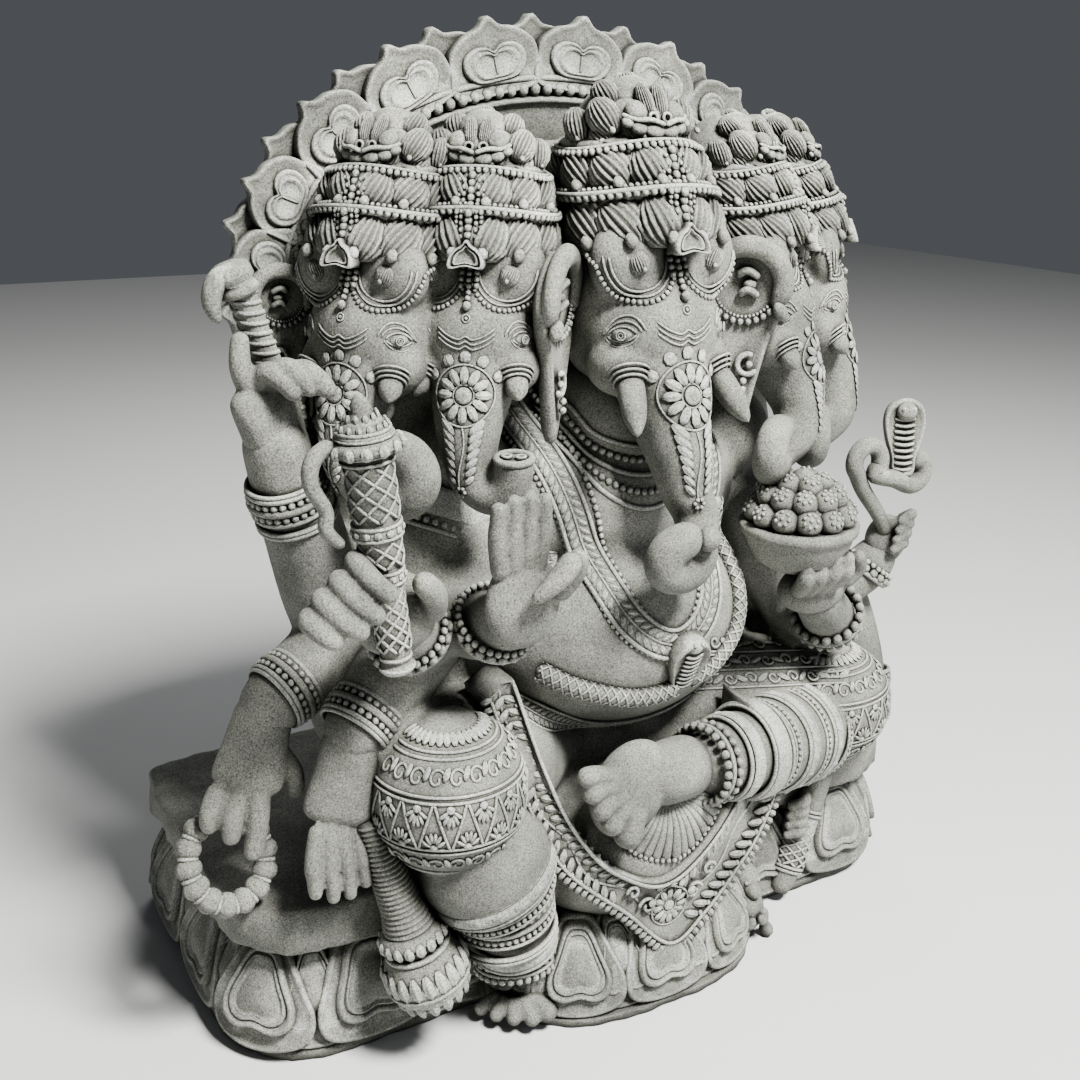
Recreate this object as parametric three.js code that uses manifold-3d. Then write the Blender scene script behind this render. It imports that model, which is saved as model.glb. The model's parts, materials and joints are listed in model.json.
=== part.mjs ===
// Five-headed, ten-armed seated Ganesha carved from one block of grey granite. Millimetres, +Z up, front at -Y.
import * as THREE from "three";
import { mergeVertices } from "three/addons/utils/BufferGeometryUtils.js";
import Module from "manifold-3d";

const wasm = await Module();
wasm.setup();

// Lotus base: a rounded block of petals under a flat seat slab, with a bulge of petals in the middle of the front.
const BASE_HALF_WIDTH = 520;
const BASE_FRONT = -288;
const BASE_BACK = 165;
const BASE_CORNER = 120;
const PETALS_TOP = 150;
const SLAB_TOP = 208;
const BULGE_HALF_WIDTH = 235;
const BULGE_CENTRE_Y = -150;
const BULGE_DEPTH = 258;
const BULGE_TOP = 128;

// Halo: an arched back plate whose outline is half an ellipse on straight sides, ringed by two rows of petals.
const TOTAL_HEIGHT = 1200;
const HALO_Y = -50;
const HALO_THICKNESS = 44;
const HALO_HALF_WIDTH = 425;
const HALO_SPRING_Z = 898;
const HALO_FOOT_Z = 760;
const HALO_PETAL = 78;
const HALO_PETAL_PITCH = 18.5;
const HALO_PETAL_START = -3.3;

// Heads: centre of each skull, turn about the vertical and size against the middle one.
const HEAD_Z = 862;
const SIDE_HEAD_SIZE = 0.86;
const HEADS = [
  { x: -279, y: -187, turn: -56, size: SIDE_HEAD_SIZE },
  { x: -183, y: -231, turn: -38, size: SIDE_HEAD_SIZE },
  { x: 0, y: -265, turn: 0, size: 1 },
  { x: 183, y: -231, turn: 38, size: SIDE_HEAD_SIZE },
  { x: 279, y: -187, turn: 56, size: SIDE_HEAD_SIZE },
];
const CROWN_BASE_Z = 62;
const CROWN_HEIGHT = 200;
const CROWN_LEAN = 60;

// The origin is put under the middle of the bounding box: these are the middle of its plan in the layout's own frame.
const MIDDLE_X = 1.62;
const MIDDLE_Y = -142.96;

// Corners nearer than this are welded after the joins.
const WELD = 1;

const vec = (p) => new THREE.Vector3(p[0], p[1], p[2]);

// A closed three.js geometry as a solid.
function solid(geometry) {
  const g = geometry.index ? geometry.toNonIndexed() : geometry.clone();
  g.deleteAttribute("normal");
  g.deleteAttribute("uv");
  const merged = mergeVertices(g, 1e-3);
  const made = new wasm.Manifold(
    new wasm.Mesh({
      numProp: 3,
      vertProperties: merged.attributes.position.array,
      triVerts: new Uint32Array(merged.index.array),
    }),
  );
  return made;
}

function join(parts) {
  return parts.map(solid).reduce((all, one) => all.add(one));
}

// A closed surface from rings of points, bottom ring first, each ring anticlockwise seen from its end.
function loft(rings) {
  const n = rings[0].length;
  const position = [];
  rings.forEach((ring) => ring.forEach((p) => position.push(p.x, p.y, p.z)));
  const middle = (ring) => ring.reduce((s, p) => s.add(p), new THREE.Vector3()).divideScalar(n);
  const first = middle(rings[0]);
  const last = middle(rings[rings.length - 1]);
  position.push(first.x, first.y, first.z, last.x, last.y, last.z);
  const index = [];
  for (let k = 0; k + 1 < rings.length; k += 1) {
    for (let i = 0; i < n; i += 1) {
      const j = (i + 1) % n;
      index.push(k * n + i, k * n + j, (k + 1) * n + j);
      index.push(k * n + i, (k + 1) * n + j, (k + 1) * n + i);
    }
  }
  const start = rings.length * n;
  const top = (rings.length - 1) * n;
  for (let i = 0; i < n; i += 1) {
    const j = (i + 1) % n;
    index.push(start, j, i);
    index.push(start + 1, top + i, top + j);
  }
  const g = new THREE.BufferGeometry();
  g.setAttribute("position", new THREE.Float32BufferAttribute(position, 3));
  g.setIndex(index);
  return g;
}

// A limb: circles of the given radii carried along a smooth curve through the points, closed at both ends.
// Each circle is drawn as a polygon of the same area.
function limb(points, radii, sides = 8, steps = 6) {
  const fair = Math.sqrt((2 * Math.PI) / (sides * Math.sin((2 * Math.PI) / sides)));
  const curve = new THREE.CatmullRomCurve3(points.map(vec), false, "centripetal");
  const frames = curve.computeFrenetFrames(steps, false);
  const rings = [];
  for (let k = 0; k <= steps; k += 1) {
    const t = k / steps;
    const c = curve.getPointAt(t);
    const at = t * (radii.length - 1);
    const i = Math.min(Math.floor(at), radii.length - 2);
    const r = fair * (radii[i] + (radii[i + 1] - radii[i]) * (at - i));
    const ring = [];
    for (let s = 0; s < sides; s += 1) {
      const a = (2 * Math.PI * s) / sides;
      const p = c.clone();
      p.addScaledVector(frames.normals[k], r * Math.cos(a));
      p.addScaledVector(frames.binormals[k], r * Math.sin(a));
      ring.push(p);
    }
    rings.push(ring);
  }
  return loft(rings);
}

// An ellipsoid with its middle at c and half-sizes r, turned by t degrees about x, then z.
function ball(c, r, w = 10, h = 7, t = [0, 0]) {
  const g = new THREE.SphereGeometry(1, w, h);
  g.rotateX(Math.PI / 2);
  g.scale(r[0], r[1], r[2]);
  g.rotateX((t[0] * Math.PI) / 180);
  g.rotateZ((t[1] * Math.PI) / 180);
  g.translate(c[0], c[1], c[2]);
  return g;
}

// A turned shape: [radius, height] pairs from the bottom pole to the top pole, about the vertical.
function turned(profile, sides) {
  const g = new THREE.LatheGeometry(profile.map((p) => new THREE.Vector2(p[0], p[1])), sides);
  g.rotateX(Math.PI / 2);
  return g;
}

// Stands a shape made about the vertical on the line from a to b.
function stood(g, a, b) {
  const from = vec(a);
  const way = vec(b).sub(from).normalize();
  const q = new THREE.Quaternion().setFromUnitVectors(new THREE.Vector3(0, 0, 1), way);
  g.applyQuaternion(q);
  g.translate(from.x, from.y, from.z);
  return g;
}

// ---- base ----

// Points and outward directions at equal spacing round a rectangle with round corners.
function roundedPlan(half, front, back, radius, count) {
  const shape = new THREE.Shape();
  shape.moveTo(-half + radius, front);
  shape.lineTo(half - radius, front);
  shape.absarc(half - radius, front + radius, radius, -Math.PI / 2, 0, false);
  shape.lineTo(half, back - radius / 3);
  shape.absarc(half - radius / 3, back - radius / 3, radius / 3, 0, Math.PI / 2, false);
  shape.lineTo(-half + radius / 3, back);
  shape.absarc(-half + radius / 3, back - radius / 3, radius / 3, Math.PI / 2, Math.PI, false);
  shape.lineTo(-half, front + radius);
  shape.absarc(-half + radius, front + radius, radius, Math.PI, 1.5 * Math.PI, false);
  const points = shape.getSpacedPoints(count).slice(0, count);
  return points.map((p, i) => {
    const a = points[(i + count - 1) % count];
    const b = points[(i + 1) % count];
    const along = b.clone().sub(a).normalize();
    return { p, out: new THREE.Vector2(along.y, -along.x) };
  });
}

// Plan of the front bulge: a squarish oval.
function bulgePlan(count) {
  return Array.from({ length: count }, (_, i) => {
    const a = (2 * Math.PI * i) / count;
    const c = Math.cos(a);
    const s = Math.sin(a);
    const k = (Math.abs(c) ** 2.6 + Math.abs(s) ** 2.6) ** (-1 / 2.6);
    const p = new THREE.Vector2(BULGE_HALF_WIDTH * k * c, BULGE_CENTRE_Y + BULGE_DEPTH * k * s);
    return { p, out: new THREE.Vector2(c, s).normalize() };
  });
}

// Lifts a plan through [height, offset, petal swell] levels; the swell is full mid-petal and none at the joints.
function petalBlock(plan, levels, petals) {
  const rings = levels.map(([z, offset, swell]) =>
    plan.map(({ p, out }, i) => {
      const bow = Math.abs(Math.sin((Math.PI * petals * i) / plan.length));
      const d = offset + swell * (bow - 0.5);
      return new THREE.Vector3(p.x + out.x * d, p.y + out.y * d, z);
    }),
  );
  return loft(rings);
}

function base() {
  const wings = roundedPlan(BASE_HALF_WIDTH, BASE_FRONT, BASE_BACK, BASE_CORNER, 48);
  const block = petalBlock(wings, [
    [0, -12, 0],
    [18, -6, 6],
    [70, -2, 18],
    [115, -8, 18],
    [PETALS_TOP, -34, 4],
    [PETALS_TOP + 8, -6, 0],
    [SLAB_TOP, -4, 0],
  ], 16);
  const bulge = petalBlock(bulgePlan(32), [
    [0, -8, 0],
    [14, 0, 0],
    [20, -22, 6],
    [90, -18, 16],
    [BULGE_TOP, -60, 4],
  ], 8);
  return [block, bulge];
}

// ---- halo ----

function haloPoint(phi, inset) {
  const a = (phi * Math.PI) / 180;
  const x = (HALO_HALF_WIDTH - inset) * Math.sin(a);
  const z = HALO_SPRING_Z + (TOTAL_HEIGHT - HALO_SPRING_Z - inset) * Math.cos(a);
  return new THREE.Vector2(x, z);
}

// Stands a drawing of x and z up as a plate between two depths.
function plate(shape, front, back, segments = 8) {
  const g = new THREE.ExtrudeGeometry(shape, { depth: back - front, bevelEnabled: false, curveSegments: segments });
  g.rotateX(Math.PI / 2);
  g.translate(0, back, 0);
  return g;
}

function haloPetal(phi, front, back) {
  const half = HALO_PETAL_PITCH / 2;
  const shape = new THREE.Shape([
    haloPoint(phi - half * 1.05, HALO_PETAL + 10),
    haloPoint(phi + half * 1.05, HALO_PETAL + 10),
    haloPoint(phi + half * 0.96, 38),
    haloPoint(phi + half * 0.45, 12),
    haloPoint(phi, 0),
    haloPoint(phi - half * 0.45, 12),
    haloPoint(phi - half * 0.96, 38),
  ]);
  return plate(shape, front, back);
}

function halo() {
  const front = HALO_Y - HALO_THICKNESS / 2;
  const back = HALO_Y + HALO_THICKNESS / 2;
  const outline = [];
  const reach = HALO_HALF_WIDTH - 58;
  outline.push(new THREE.Vector2(-reach + 60, HALO_FOOT_Z - 420), new THREE.Vector2(reach - 60, HALO_FOOT_Z - 420));
  outline.push(new THREE.Vector2(reach - 30, HALO_FOOT_Z - 60));
  for (let k = 0; k <= 12; k += 1) outline.push(haloPoint(90 - k * 15, 58));
  outline.push(new THREE.Vector2(-reach + 30, HALO_FOOT_Z - 60));
  const parts = [plate(new THREE.Shape(outline), front + 6, back)];
  for (let k = -5; k <= 5; k += 1) {
    const phi = HALO_PETAL_START + k * HALO_PETAL_PITCH;
    parts.push(haloPetal(phi, front + 14, back - 4));
    if (k < 5) parts.push(haloPetal(phi + HALO_PETAL_PITCH / 2, front, back - 12));
  }
  return parts;
}

// Stone left behind the crowns, heads, shoulders and hips, sloping down to the back of the slab.
function backing() {
  return [
    ball([0, -90, 905], [330, 95, 150], 9, 4),
    ball([0, -80, 640], [360, 125, 240], 9, 5),
    ball([0, -75, 380], [350, 175, 240], 10, 5),
  ];
}

// ---- heads ----

const CROWN_PROFILE = [
  [0, 0], [92, 0], [102, 24], [87, 44], [92, 60], [86, 98], [71, 114],
  [72, 136], [46, 180], [0, CROWN_HEIGHT],
];

function crown() {
  const g = turned(CROWN_PROFILE, 9);
  const shear = new THREE.Matrix4().set(1, 0, 0, 0, 0, 1, CROWN_LEAN / CROWN_HEIGHT, -10, 0, 0, 1, CROWN_BASE_Z, 0, 0, 0, 1);
  g.applyMatrix4(shear);
  return [g];
}

// The plain part of a head: skull and tusks.
function skull() {
  const parts = [
    ball([0, 0, 0], [94, 104, 114], 9, 6),
  ];
  [-1, 1].forEach((side) => {
    parts.push(limb([[side * 54, -70, -40], [side * 75, -130, -112]], [20, 4], 6, 1));
  });
  return parts;
}

// Long trunk of the middle head: straight down over the necklaces, then one tight turn to the wearer's right.
function coiledTrunk() {
  const path = [[0, -52, -20], [0, -72, -70], [2, -102, -140], [16, -112, -190]];
  const coil = { x: -22, z: -246, y: -148, r: 24 };
  for (let k = 0; k <= 9; k += 1) {
    const a = ((20 - k * 38) * Math.PI) / 180;
    path.push([coil.x + 1.5 * coil.r * Math.cos(a) * (1 - k * 0.03), coil.y - k * 1.2, coil.z + coil.r * Math.sin(a)]);
  }
  return [limb(path, [50, 48, 36, 28, 25, 23, 22, 21, 20, 19, 17], 7, 14)];
}

// Side trunks: down, then a round curl towards one side.
function curledTrunk(side, coil, turns) {
  const path = [[0, -50, -20], [0, -70, -72], [side * 4, -92, -128]];
  for (let k = 0; k <= 7; k += 1) {
    const a = ((180 + side * 0 + k * turns) * Math.PI) / 180;
    path.push([side * (coil.x + coil.r * Math.cos(a)), coil.y, coil.z + coil.r * Math.sin(a)]);
  }
  return [limb(path, [50, 48, 38, 33, 30, 27, 25, 23, 20], 6, 8)];
}

// Fan-shaped ear: a plate rounded above and drawn to a point below, swept back.
function ear(side, size, x, y) {
  const shape = new THREE.Shape();
  shape.moveTo(-40, 60);
  shape.quadraticCurveTo(20, 96, 50, 66);
  shape.quadraticCurveTo(74, 20, 44, -30);
  shape.quadraticCurveTo(30, -70, 10, -128);
  shape.quadraticCurveTo(-36, -80, -62, -10);
  const g = plate(shape, -9, 9, 2);
  g.scale(size, 1, size);
  if (side < 0) {
    g.scale(-1, 1, 1);
    const index = g.index;
    const flip = index ? index.array : g.attributes.position.array;
    if (index) {
      for (let i = 0; i < flip.length; i += 3) [flip[i], flip[i + 1]] = [flip[i + 1], flip[i]];
    } else {
      for (let i = 0; i < flip.length; i += 9) {
        for (let j = 0; j < 3; j += 1) [flip[i + j], flip[i + 3 + j]] = [flip[i + 3 + j], flip[i + j]];
      }
    }
  }
  g.rotateZ((side * -34 * Math.PI) / 180);
  g.translate(side * x, y, 6);
  return g;
}

function head(number) {
  const parts = [...skull(), ...crown()];
  if (number === 2) parts.push(...[-1, 1].map((side) => ball([side * 44, -62, 66], [44, 44, 44], 7, 4)));
  if (number === 2) parts.push(...coiledTrunk(), ear(-1, 1, 122, -40), ear(1, 1, 122, -40));
  if (number === 1) parts.push(...curledTrunk(1, { x: 44, y: -114, z: -150, r: 34 }, 26));
  if (number === 0) parts.push(...curledTrunk(1, { x: 72, y: -104, z: -150, r: 30 }, 44), ear(-1, 0.8, 120, -48));
  if (number === 3) parts.push(...curledTrunk(-1, { x: 62, y: -70, z: -188, r: 30 }, 44));
  if (number === 4) parts.push(...curledTrunk(-1, { x: 58, y: -62, z: -180, r: 30 }, 44), ear(1, 0.8, 120, -48));
  const place = HEADS[number];
  const m = new THREE.Matrix4().makeRotationZ((place.turn * Math.PI) / 180);
  m.scale(new THREE.Vector3(place.size, place.size, place.size));
  m.setPosition(place.x, place.y, HEAD_Z);
  return parts.map((g) => g.applyMatrix4(m));
}

// ---- body ----

function torso() {
  return [
    ball([0, -205, 500], [190, 182, 152], 14, 8),
    ball([0, -185, 640], [200, 130, 120], 10, 6),
    ball([0, -210, 740], [95, 110, 80], 8, 5),
    ball([-190, -185, 690], [70, 70, 66], 7, 5),
    ball([190, -185, 690], [70, 70, 66], 7, 5),
    ball([0, -140, 300], [320, 185, 130], 11, 5),
  ];
}

// Legs: the wearer's right shin hangs to a foot on the base, the left one is folded across the lap.
function legs() {
  return [
    limb([[-60, -150, 310], [-272, -322, 352]], [120, 92], 9, 1),
    ball([-276, -326, 350], [94, 92, 98], 11, 7),
    limb([[-262, -326, 320], [-222, -330, 235], [-186, -326, 160], [-180, -318, 60]], [90, 84, 52, 44], 9, 3),
    limb([[-182, -300, 46], [-178, -350, 40], [-172, -376, 26]], [40, 34, 20], 8, 2),
    limb([[60, -170, 310], [352, -250, 286]], [125, 98], 9, 1),
    ball([356, -250, 284], [108, 96, 94], 11, 7),
    limb([[330, -270, 262], [200, -330, 290], [90, -352, 306], [30, -364, 312]], [78, 62, 48, 44], 8, 3),
    limb([[40, -364, 312], [-40, -384, 318], [-104, -388, 322]], [44, 36, 26], 8, 2),
  ];
}

// The lower edge of the cloth: a broad band hanging in a point over the lap and down the front of the base.
function sash() {
  const outer = new THREE.Shape();
  outer.moveTo(-176, 420);
  outer.quadraticCurveTo(-178, 250, -96, 178);
  outer.lineTo(0, 78);
  outer.lineTo(96, 160);
  outer.quadraticCurveTo(176, 230, 200, 330);
  outer.lineTo(120, 330);
  outer.quadraticCurveTo(60, 190, 0, 172);
  outer.quadraticCurveTo(-70, 200, -120, 330);
  outer.lineTo(-126, 420);
  const band = plate(outer, -398, -330, 5);
  return [band, ball([0, -290, 190], [150, 110, 96], 10, 5), ball([0, -330, 262], [90, 70, 34], 9, 4)];
}

// ---- arms ----

// A sleeve-less arm from the shoulder to the middle of the palm.
function arm(points, radii, palm) {
  return limb([...points, palm], [...radii, 26], 6, 4);
}

// Fingers lying side by side as one flat tapered form, from the palm to their tips; wide runs across them.
function fingers(points, radius, wide) {
  const g = limb(points, [radius, radius, radius * 0.75], 5, 2);
  const across = vec(wide).normalize();
  const middle = vec(points[1]);
  const position = g.attributes.position;
  const p = new THREE.Vector3();
  for (let i = 0; i < position.count; i += 1) {
    p.fromBufferAttribute(position, i);
    const away = p.clone().sub(middle).dot(across);
    p.addScaledVector(across, away * (vec(wide).length() - 1));
    position.setXYZ(i, p.x, p.y, p.z);
  }
  return g;
}

function thumb(...points) {
  return limb(points, [11, 8], 4, 1);
}

function rightArms() {
  return [
    // upper back hand, forefinger raised against the shaft of the goad
    arm([[-190, -150, 660], [-330, -160, 560], [-352, -170, 545], [-400, -195, 690]], [60, 56, 54, 50], [-430, -212, 796]),
    ball([-430, -212, 796], [40, 30, 44], 6, 4),
    thumb([-444, -212, 806], [-454, -212, 862]),
    fingers([[-424, -214, 808], [-408, -240, 824], [-392, -238, 794]], 12, [1.6, 0, 0.6]),
    // fist round the club
    arm([[-200, -200, 690], [-243, -215, 560], [-252, -235, 532], [-310, -318, 545]], [62, 58, 56, 44], [-360, -352, 596]),
    ball([-360, -352, 596], [44, 34, 42], 6, 4),
    fingers([[-392, -356, 598], [-404, -394, 600], [-366, -404, 596]], 12, [0, 0, 3.2]),
    thumb([-330, -362, 602], [-340, -404, 636]),
    // open palm raised, thumb and forefinger holding a tusk
    arm([[-170, -215, 640], [-226, -240, 560], [-234, -262, 540], [-229, -360, 556]], [60, 52, 50, 44], [-226, -402, 612]),
    ball([-226, -402, 612], [40, 20, 46], 6, 4),
    fingers([[-232, -406, 640], [-232, -412, 680], [-232, -420, 718]], 11, [2.7, 0, 0]),
    thumb([-200, -406, 634], [-186, -442, 650]),
    // lower hand hanging over the edge of the slab with the bead ring
    arm([[-180, -130, 600], [-308, -150, 510], [-330, -170, 490], [-425, -198, 450]], [60, 56, 54, 46], [-476, -212, 388]),
    ball([-476, -212, 388], [42, 28, 46], 6, 4),
    fingers([[-482, -222, 360], [-484, -236, 320], [-486, -244, 292]], 11, [2.8, 0, 0]),
    thumb([-442, -208, 376], [-428, -216, 334]),
    // lower hand on the shaft of the mace
    arm([[-180, -170, 600], [-258, -220, 520], [-276, -240, 498], [-362, -280, 432]], [60, 56, 54, 46], [-398, -296, 368]),
    ball([-398, -296, 368], [42, 28, 50], 6, 4),
    fingers([[-402, -306, 340], [-402, -316, 290], [-400, -320, 256]], 11, [3, 0, 0]),
    thumb([-368, -298, 366], [-352, -312, 322]),
  ];
}

function leftArms() {
  return [
    // hand holding up the cobra
    arm([[190, -150, 640], [370, -150, 440], [400, -160, 420], [476, -192, 446]], [60, 54, 50, 40], [508, -202, 494]),
    ball([508, -202, 494], [34, 28, 40], 6, 4),
    fingers([[520, -208, 506], [508, -240, 516], [488, -234, 508]], 11, [0.6, 0, 2.4]),
    // hand under the bowl of sweets
    arm([[190, -190, 640], [320, -200, 460], [330, -225, 430], [312, -300, 440]], [60, 56, 54, 42], [266, -330, 506]),
    ball([266, -330, 506], [44, 30, 36], 6, 4),
    fingers([[268, -344, 516], [266, -362, 542], [264, -378, 572]], 11, [2.8, -0.5, 0]),
    thumb([240, -344, 514], [222, -374, 562]),
    // hand hanging beside the knee
    arm([[190, -140, 620], [420, -130, 420], [470, -150, 380], [508, -188, 270]], [60, 54, 50, 36], [504, -194, 200]),
    ball([504, -194, 200], [30, 30, 44], 6, 4),
    fingers([[504, -194, 172], [498, -196, 138], [490, -196, 108]], 10, [0, 2.2, 0]),
    // hand gripping the sheathed sword under the knee
    arm([[180, -120, 560], [400, -110, 330], [410, -130, 280], [364, -238, 184]], [56, 50, 44, 34], [326, -256, 140]),
    ball([326, -256, 140], [34, 30, 30], 6, 4),
    fingers([[322, -272, 142], [294, -304, 138], [276, -292, 130]], 11, [0, 0, 2.4]),
    // resting hand behind, on the slab
    arm([[180, -90, 600], [380, -40, 440], [420, -30, 400], [448, -36, 280]], [56, 50, 46, 34], [456, -60, 228]),
    ball([456, -66, 224], [36, 50, 24], 7, 4),
  ];
}

// ---- things held ----

function goad() {
  const shaft = limb([[-447, -200, 925], [-412, -190, 820], [-352, -180, 690]], [19, 19, 19], 7, 2);
  const cap = ball([-448, -200, 926], [34, 30, 22], 9, 5);
  const hook = limb([[-462, -204, 936], [-476, -208, 910], [-474, -208, 876]], [14, 13, 8], 7, 3);
  return [shaft, cap, hook];
}

const CLUB_PROFILE = [
  [0, 0], [26, 0], [18, 22], [24, 40], [24, 100], [28, 124], [34, 158], [30, 168],
  [33, 262], [44, 270], [34, 286], [36, 294], [20, 306], [0, 334],
];

function club() {
  const body = stood(turned(CLUB_PROFILE, 8), [-361, -382, 530], [-390, -382, 862]);
  const handle = limb([[-416, -384, 800], [-436, -386, 776], [-424, -386, 730], [-404, -384, 700]], [9, 8, 8, 8], 5, 4);
  return [body, handle];
}

function tusk() {
  return [limb([[-236, -438, 618], [-204, -444, 640], [-170, -444, 656]], [9, 12, 7], 7, 3)];
}

function beadRing() {
  const g = new THREE.TorusGeometry(52, 16, 5, 14);
  g.rotateX((70 * Math.PI) / 180);
  g.translate(-500, -236, 288);
  return [g];
}

const MACE_PROFILE = [
  [0, -52], [24, -49], [46, -24], [50, 4], [30, 40], [28, 52], [19, 60], [13, 216], [0, 216],
];

function mace() {
  return [stood(turned(MACE_PROFILE, 9), [-312, -338, 128], [-366, -318, 318])];
}

function cobra() {
  return [
    limb([[500, -214, 520], [470, -206, 560], [440, -202, 600], [430, -202, 630], [452, -204, 650], [476, -206, 628],
      [500, -206, 590], [540, -204, 566], [562, -204, 590], [540, -206, 612]], [11, 12, 12, 13, 13, 12, 11], 5, 9),
    ball([510, -208, 650], [27, 12, 50], 9, 7),
    limb([[520, -206, 596], [514, -206, 620], [510, -206, 640]], [14, 14, 16], 7, 3),
  ];
}

function bowl() {
  const parts = [];
  const profile = [[0, 0], [34, 4], [60, 24], [74, 56], [62, 62], [50, 92], [28, 110], [0, 116]];
  parts.push(stood(turned(profile, 10), [218, -348, 548], [218, -348, 700]));
  return parts;
}

function sword() {
  return [
    stood(turned([[0, 0], [14, 2], [22, 30], [27, 180], [24, 226], [0, 226]], 8), [272, -292, 12], [362, -262, 214]),
    ball([440, -230, 150], [26, 18, 66], 8, 6),
  ];
}

function mouse() {
  return [
    ball([186, -306, 76], [26, 24, 24], 8, 5),
    ball([176, -322, 36], [36, 34, 34], 10, 6),
  ];
}

// ---- the whole carving ----

const pieces = [base(), halo(), backing(), torso(), legs(), sash(), rightArms(), leftArms()];
for (let k = 0; k < HEADS.length; k += 1) pieces.push(head(k));
pieces.push(goad(), club(), tusk(), beadRing(), mace(), cobra(), bowl(), sword(), mouse());
const whole = pieces.map(join).reduce((all, one) => all.add(one));

// A solid as a three.js geometry, moved so that the origin is under the middle of its bounding box.
// Corners closer than WELD become one, and the slivers that this leaves flat are dropped.
function drawn(made) {
  const mesh = made.getMesh();
  const g = new THREE.BufferGeometry();
  g.setAttribute("position", new THREE.Float32BufferAttribute(mesh.vertProperties, 3));
  g.setIndex([...mesh.triVerts]);
  const welded = mergeVertices(g, WELD);
  const index = [];
  for (let i = 0; i < welded.index.count; i += 3) {
    const [a, b, c] = [0, 1, 2].map((k) => welded.index.getX(i + k));
    if (a !== b && b !== c && c !== a) index.push(a, b, c);
  }
  welded.setIndex(index);
  welded.translate(-MIDDLE_X, -MIDDLE_Y, 0);
  return welded;
}

const granite = new THREE.MeshStandardMaterial({ color: 0x8b8c86, roughness: 0.9, metalness: 0 });
const statue = new THREE.Mesh(drawn(whole), granite);
statue.name = "ganesha_statue";

const root = new THREE.Group();
root.name = "ganesha";
root.add(statue);
export default root;
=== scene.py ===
"""Looks of a five-headed, ten-armed seated Ganesha carved from one block of weathered grey granite.

Every surface is worked out with numpy as rings of points: a profile carried along a path, or an ellipsoid.
Sizes are written in millimetres in the layout's own frame, front at -Y, and turned into metres in the row's.
"""
import json
import math

import bpy
import numpy as np
from mathutils import Matrix, Vector

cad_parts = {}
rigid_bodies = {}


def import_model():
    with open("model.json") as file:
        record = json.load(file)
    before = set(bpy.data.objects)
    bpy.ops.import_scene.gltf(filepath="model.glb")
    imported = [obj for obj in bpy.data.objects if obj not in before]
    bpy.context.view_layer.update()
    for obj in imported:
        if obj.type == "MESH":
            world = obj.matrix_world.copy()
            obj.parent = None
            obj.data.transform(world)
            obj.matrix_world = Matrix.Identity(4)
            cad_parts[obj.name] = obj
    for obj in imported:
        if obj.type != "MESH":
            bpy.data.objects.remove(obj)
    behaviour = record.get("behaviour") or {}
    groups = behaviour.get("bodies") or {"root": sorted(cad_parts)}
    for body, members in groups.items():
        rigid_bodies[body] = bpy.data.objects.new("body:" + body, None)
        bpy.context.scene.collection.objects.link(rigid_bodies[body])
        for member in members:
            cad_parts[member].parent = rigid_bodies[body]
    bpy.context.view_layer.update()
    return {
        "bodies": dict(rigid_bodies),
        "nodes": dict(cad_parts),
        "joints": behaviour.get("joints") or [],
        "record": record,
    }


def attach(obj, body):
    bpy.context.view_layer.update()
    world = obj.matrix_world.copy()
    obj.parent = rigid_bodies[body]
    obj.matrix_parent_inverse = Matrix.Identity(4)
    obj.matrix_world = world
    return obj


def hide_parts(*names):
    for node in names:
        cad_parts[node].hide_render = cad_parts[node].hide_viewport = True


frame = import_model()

NODE = "ganesha_statue"
MM = 0.001
# The middle of the layout in plan, which is the origin of the row's frame.
MIDDLE = np.array([1.62, -142.96, 0.0])
TAU = 2 * math.pi


# ---- meshes ----

def merged(parts):
    """Several (points, quads, triangles) sets as one, their indices moved up one after another."""
    points, quads, tris = [], [], []
    start = 0
    for p, q, t in parts:
        points.append(p)
        quads.append(q + start)
        tris.append(t + start)
        start += len(p)
    return np.concatenate(points), np.concatenate(quads), np.concatenate(tris)


def piece(name, parts):
    """A Blender object from the sets, in metres, its origin at the row's origin."""
    points, quads, tris = merged(parts)
    mesh = bpy.data.meshes.new(name)
    mesh.vertices.add(len(points))
    mesh.vertices.foreach_set("co", ((points - MIDDLE) * MM).astype(np.float32).ravel())
    corners = np.concatenate([quads.ravel(), tris.ravel()]).astype(np.int32)
    mesh.loops.add(len(corners))
    mesh.loops.foreach_set("vertex_index", corners)
    starts = np.concatenate([np.arange(len(quads)) * 4, len(quads) * 4 + np.arange(len(tris)) * 3])
    mesh.polygons.add(len(starts))
    mesh.polygons.foreach_set("loop_start", starts.astype(np.int32))
    mesh.update(calc_edges=True)
    mesh.polygons.foreach_set("use_smooth", np.full(len(starts), True))
    mesh.update()
    obj = bpy.data.objects.new(name, mesh)
    bpy.context.collection.objects.link(obj)
    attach(obj, "root")
    return obj


def skin(rings, closed=False):
    """Closes rings of points (rows, around, 3) into a surface.

    A fan at each end, or a last row joined to the first.
    """
    rows, around, _ = rings.shape
    i = np.arange(around)
    j = (i + 1) % around
    r = np.arange(rows if closed else rows - 1)[:, None]
    nxt = (r + 1) % rows
    quads = np.stack([r * around + i, r * around + j, nxt * around + j, nxt * around + i], -1).reshape(-1, 4)
    points = rings.reshape(-1, 3)
    if closed:
        return points, quads, np.zeros((0, 3), int)
    ends = np.stack([rings[0].mean(0), rings[-1].mean(0)])
    first, last = rows * around, rows * around + 1
    low = np.stack([np.full(around, first), j, i], -1)
    high = np.stack([np.full(around, last), (rows - 1) * around + i, (rows - 1) * around + j], -1)
    return np.concatenate([points, ends]), quads, np.concatenate([low, high])


# ---- curves ----

def round_about(count):
    """Angles evenly round a circle, from zero."""
    return np.arange(count) / count * TAU


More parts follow.
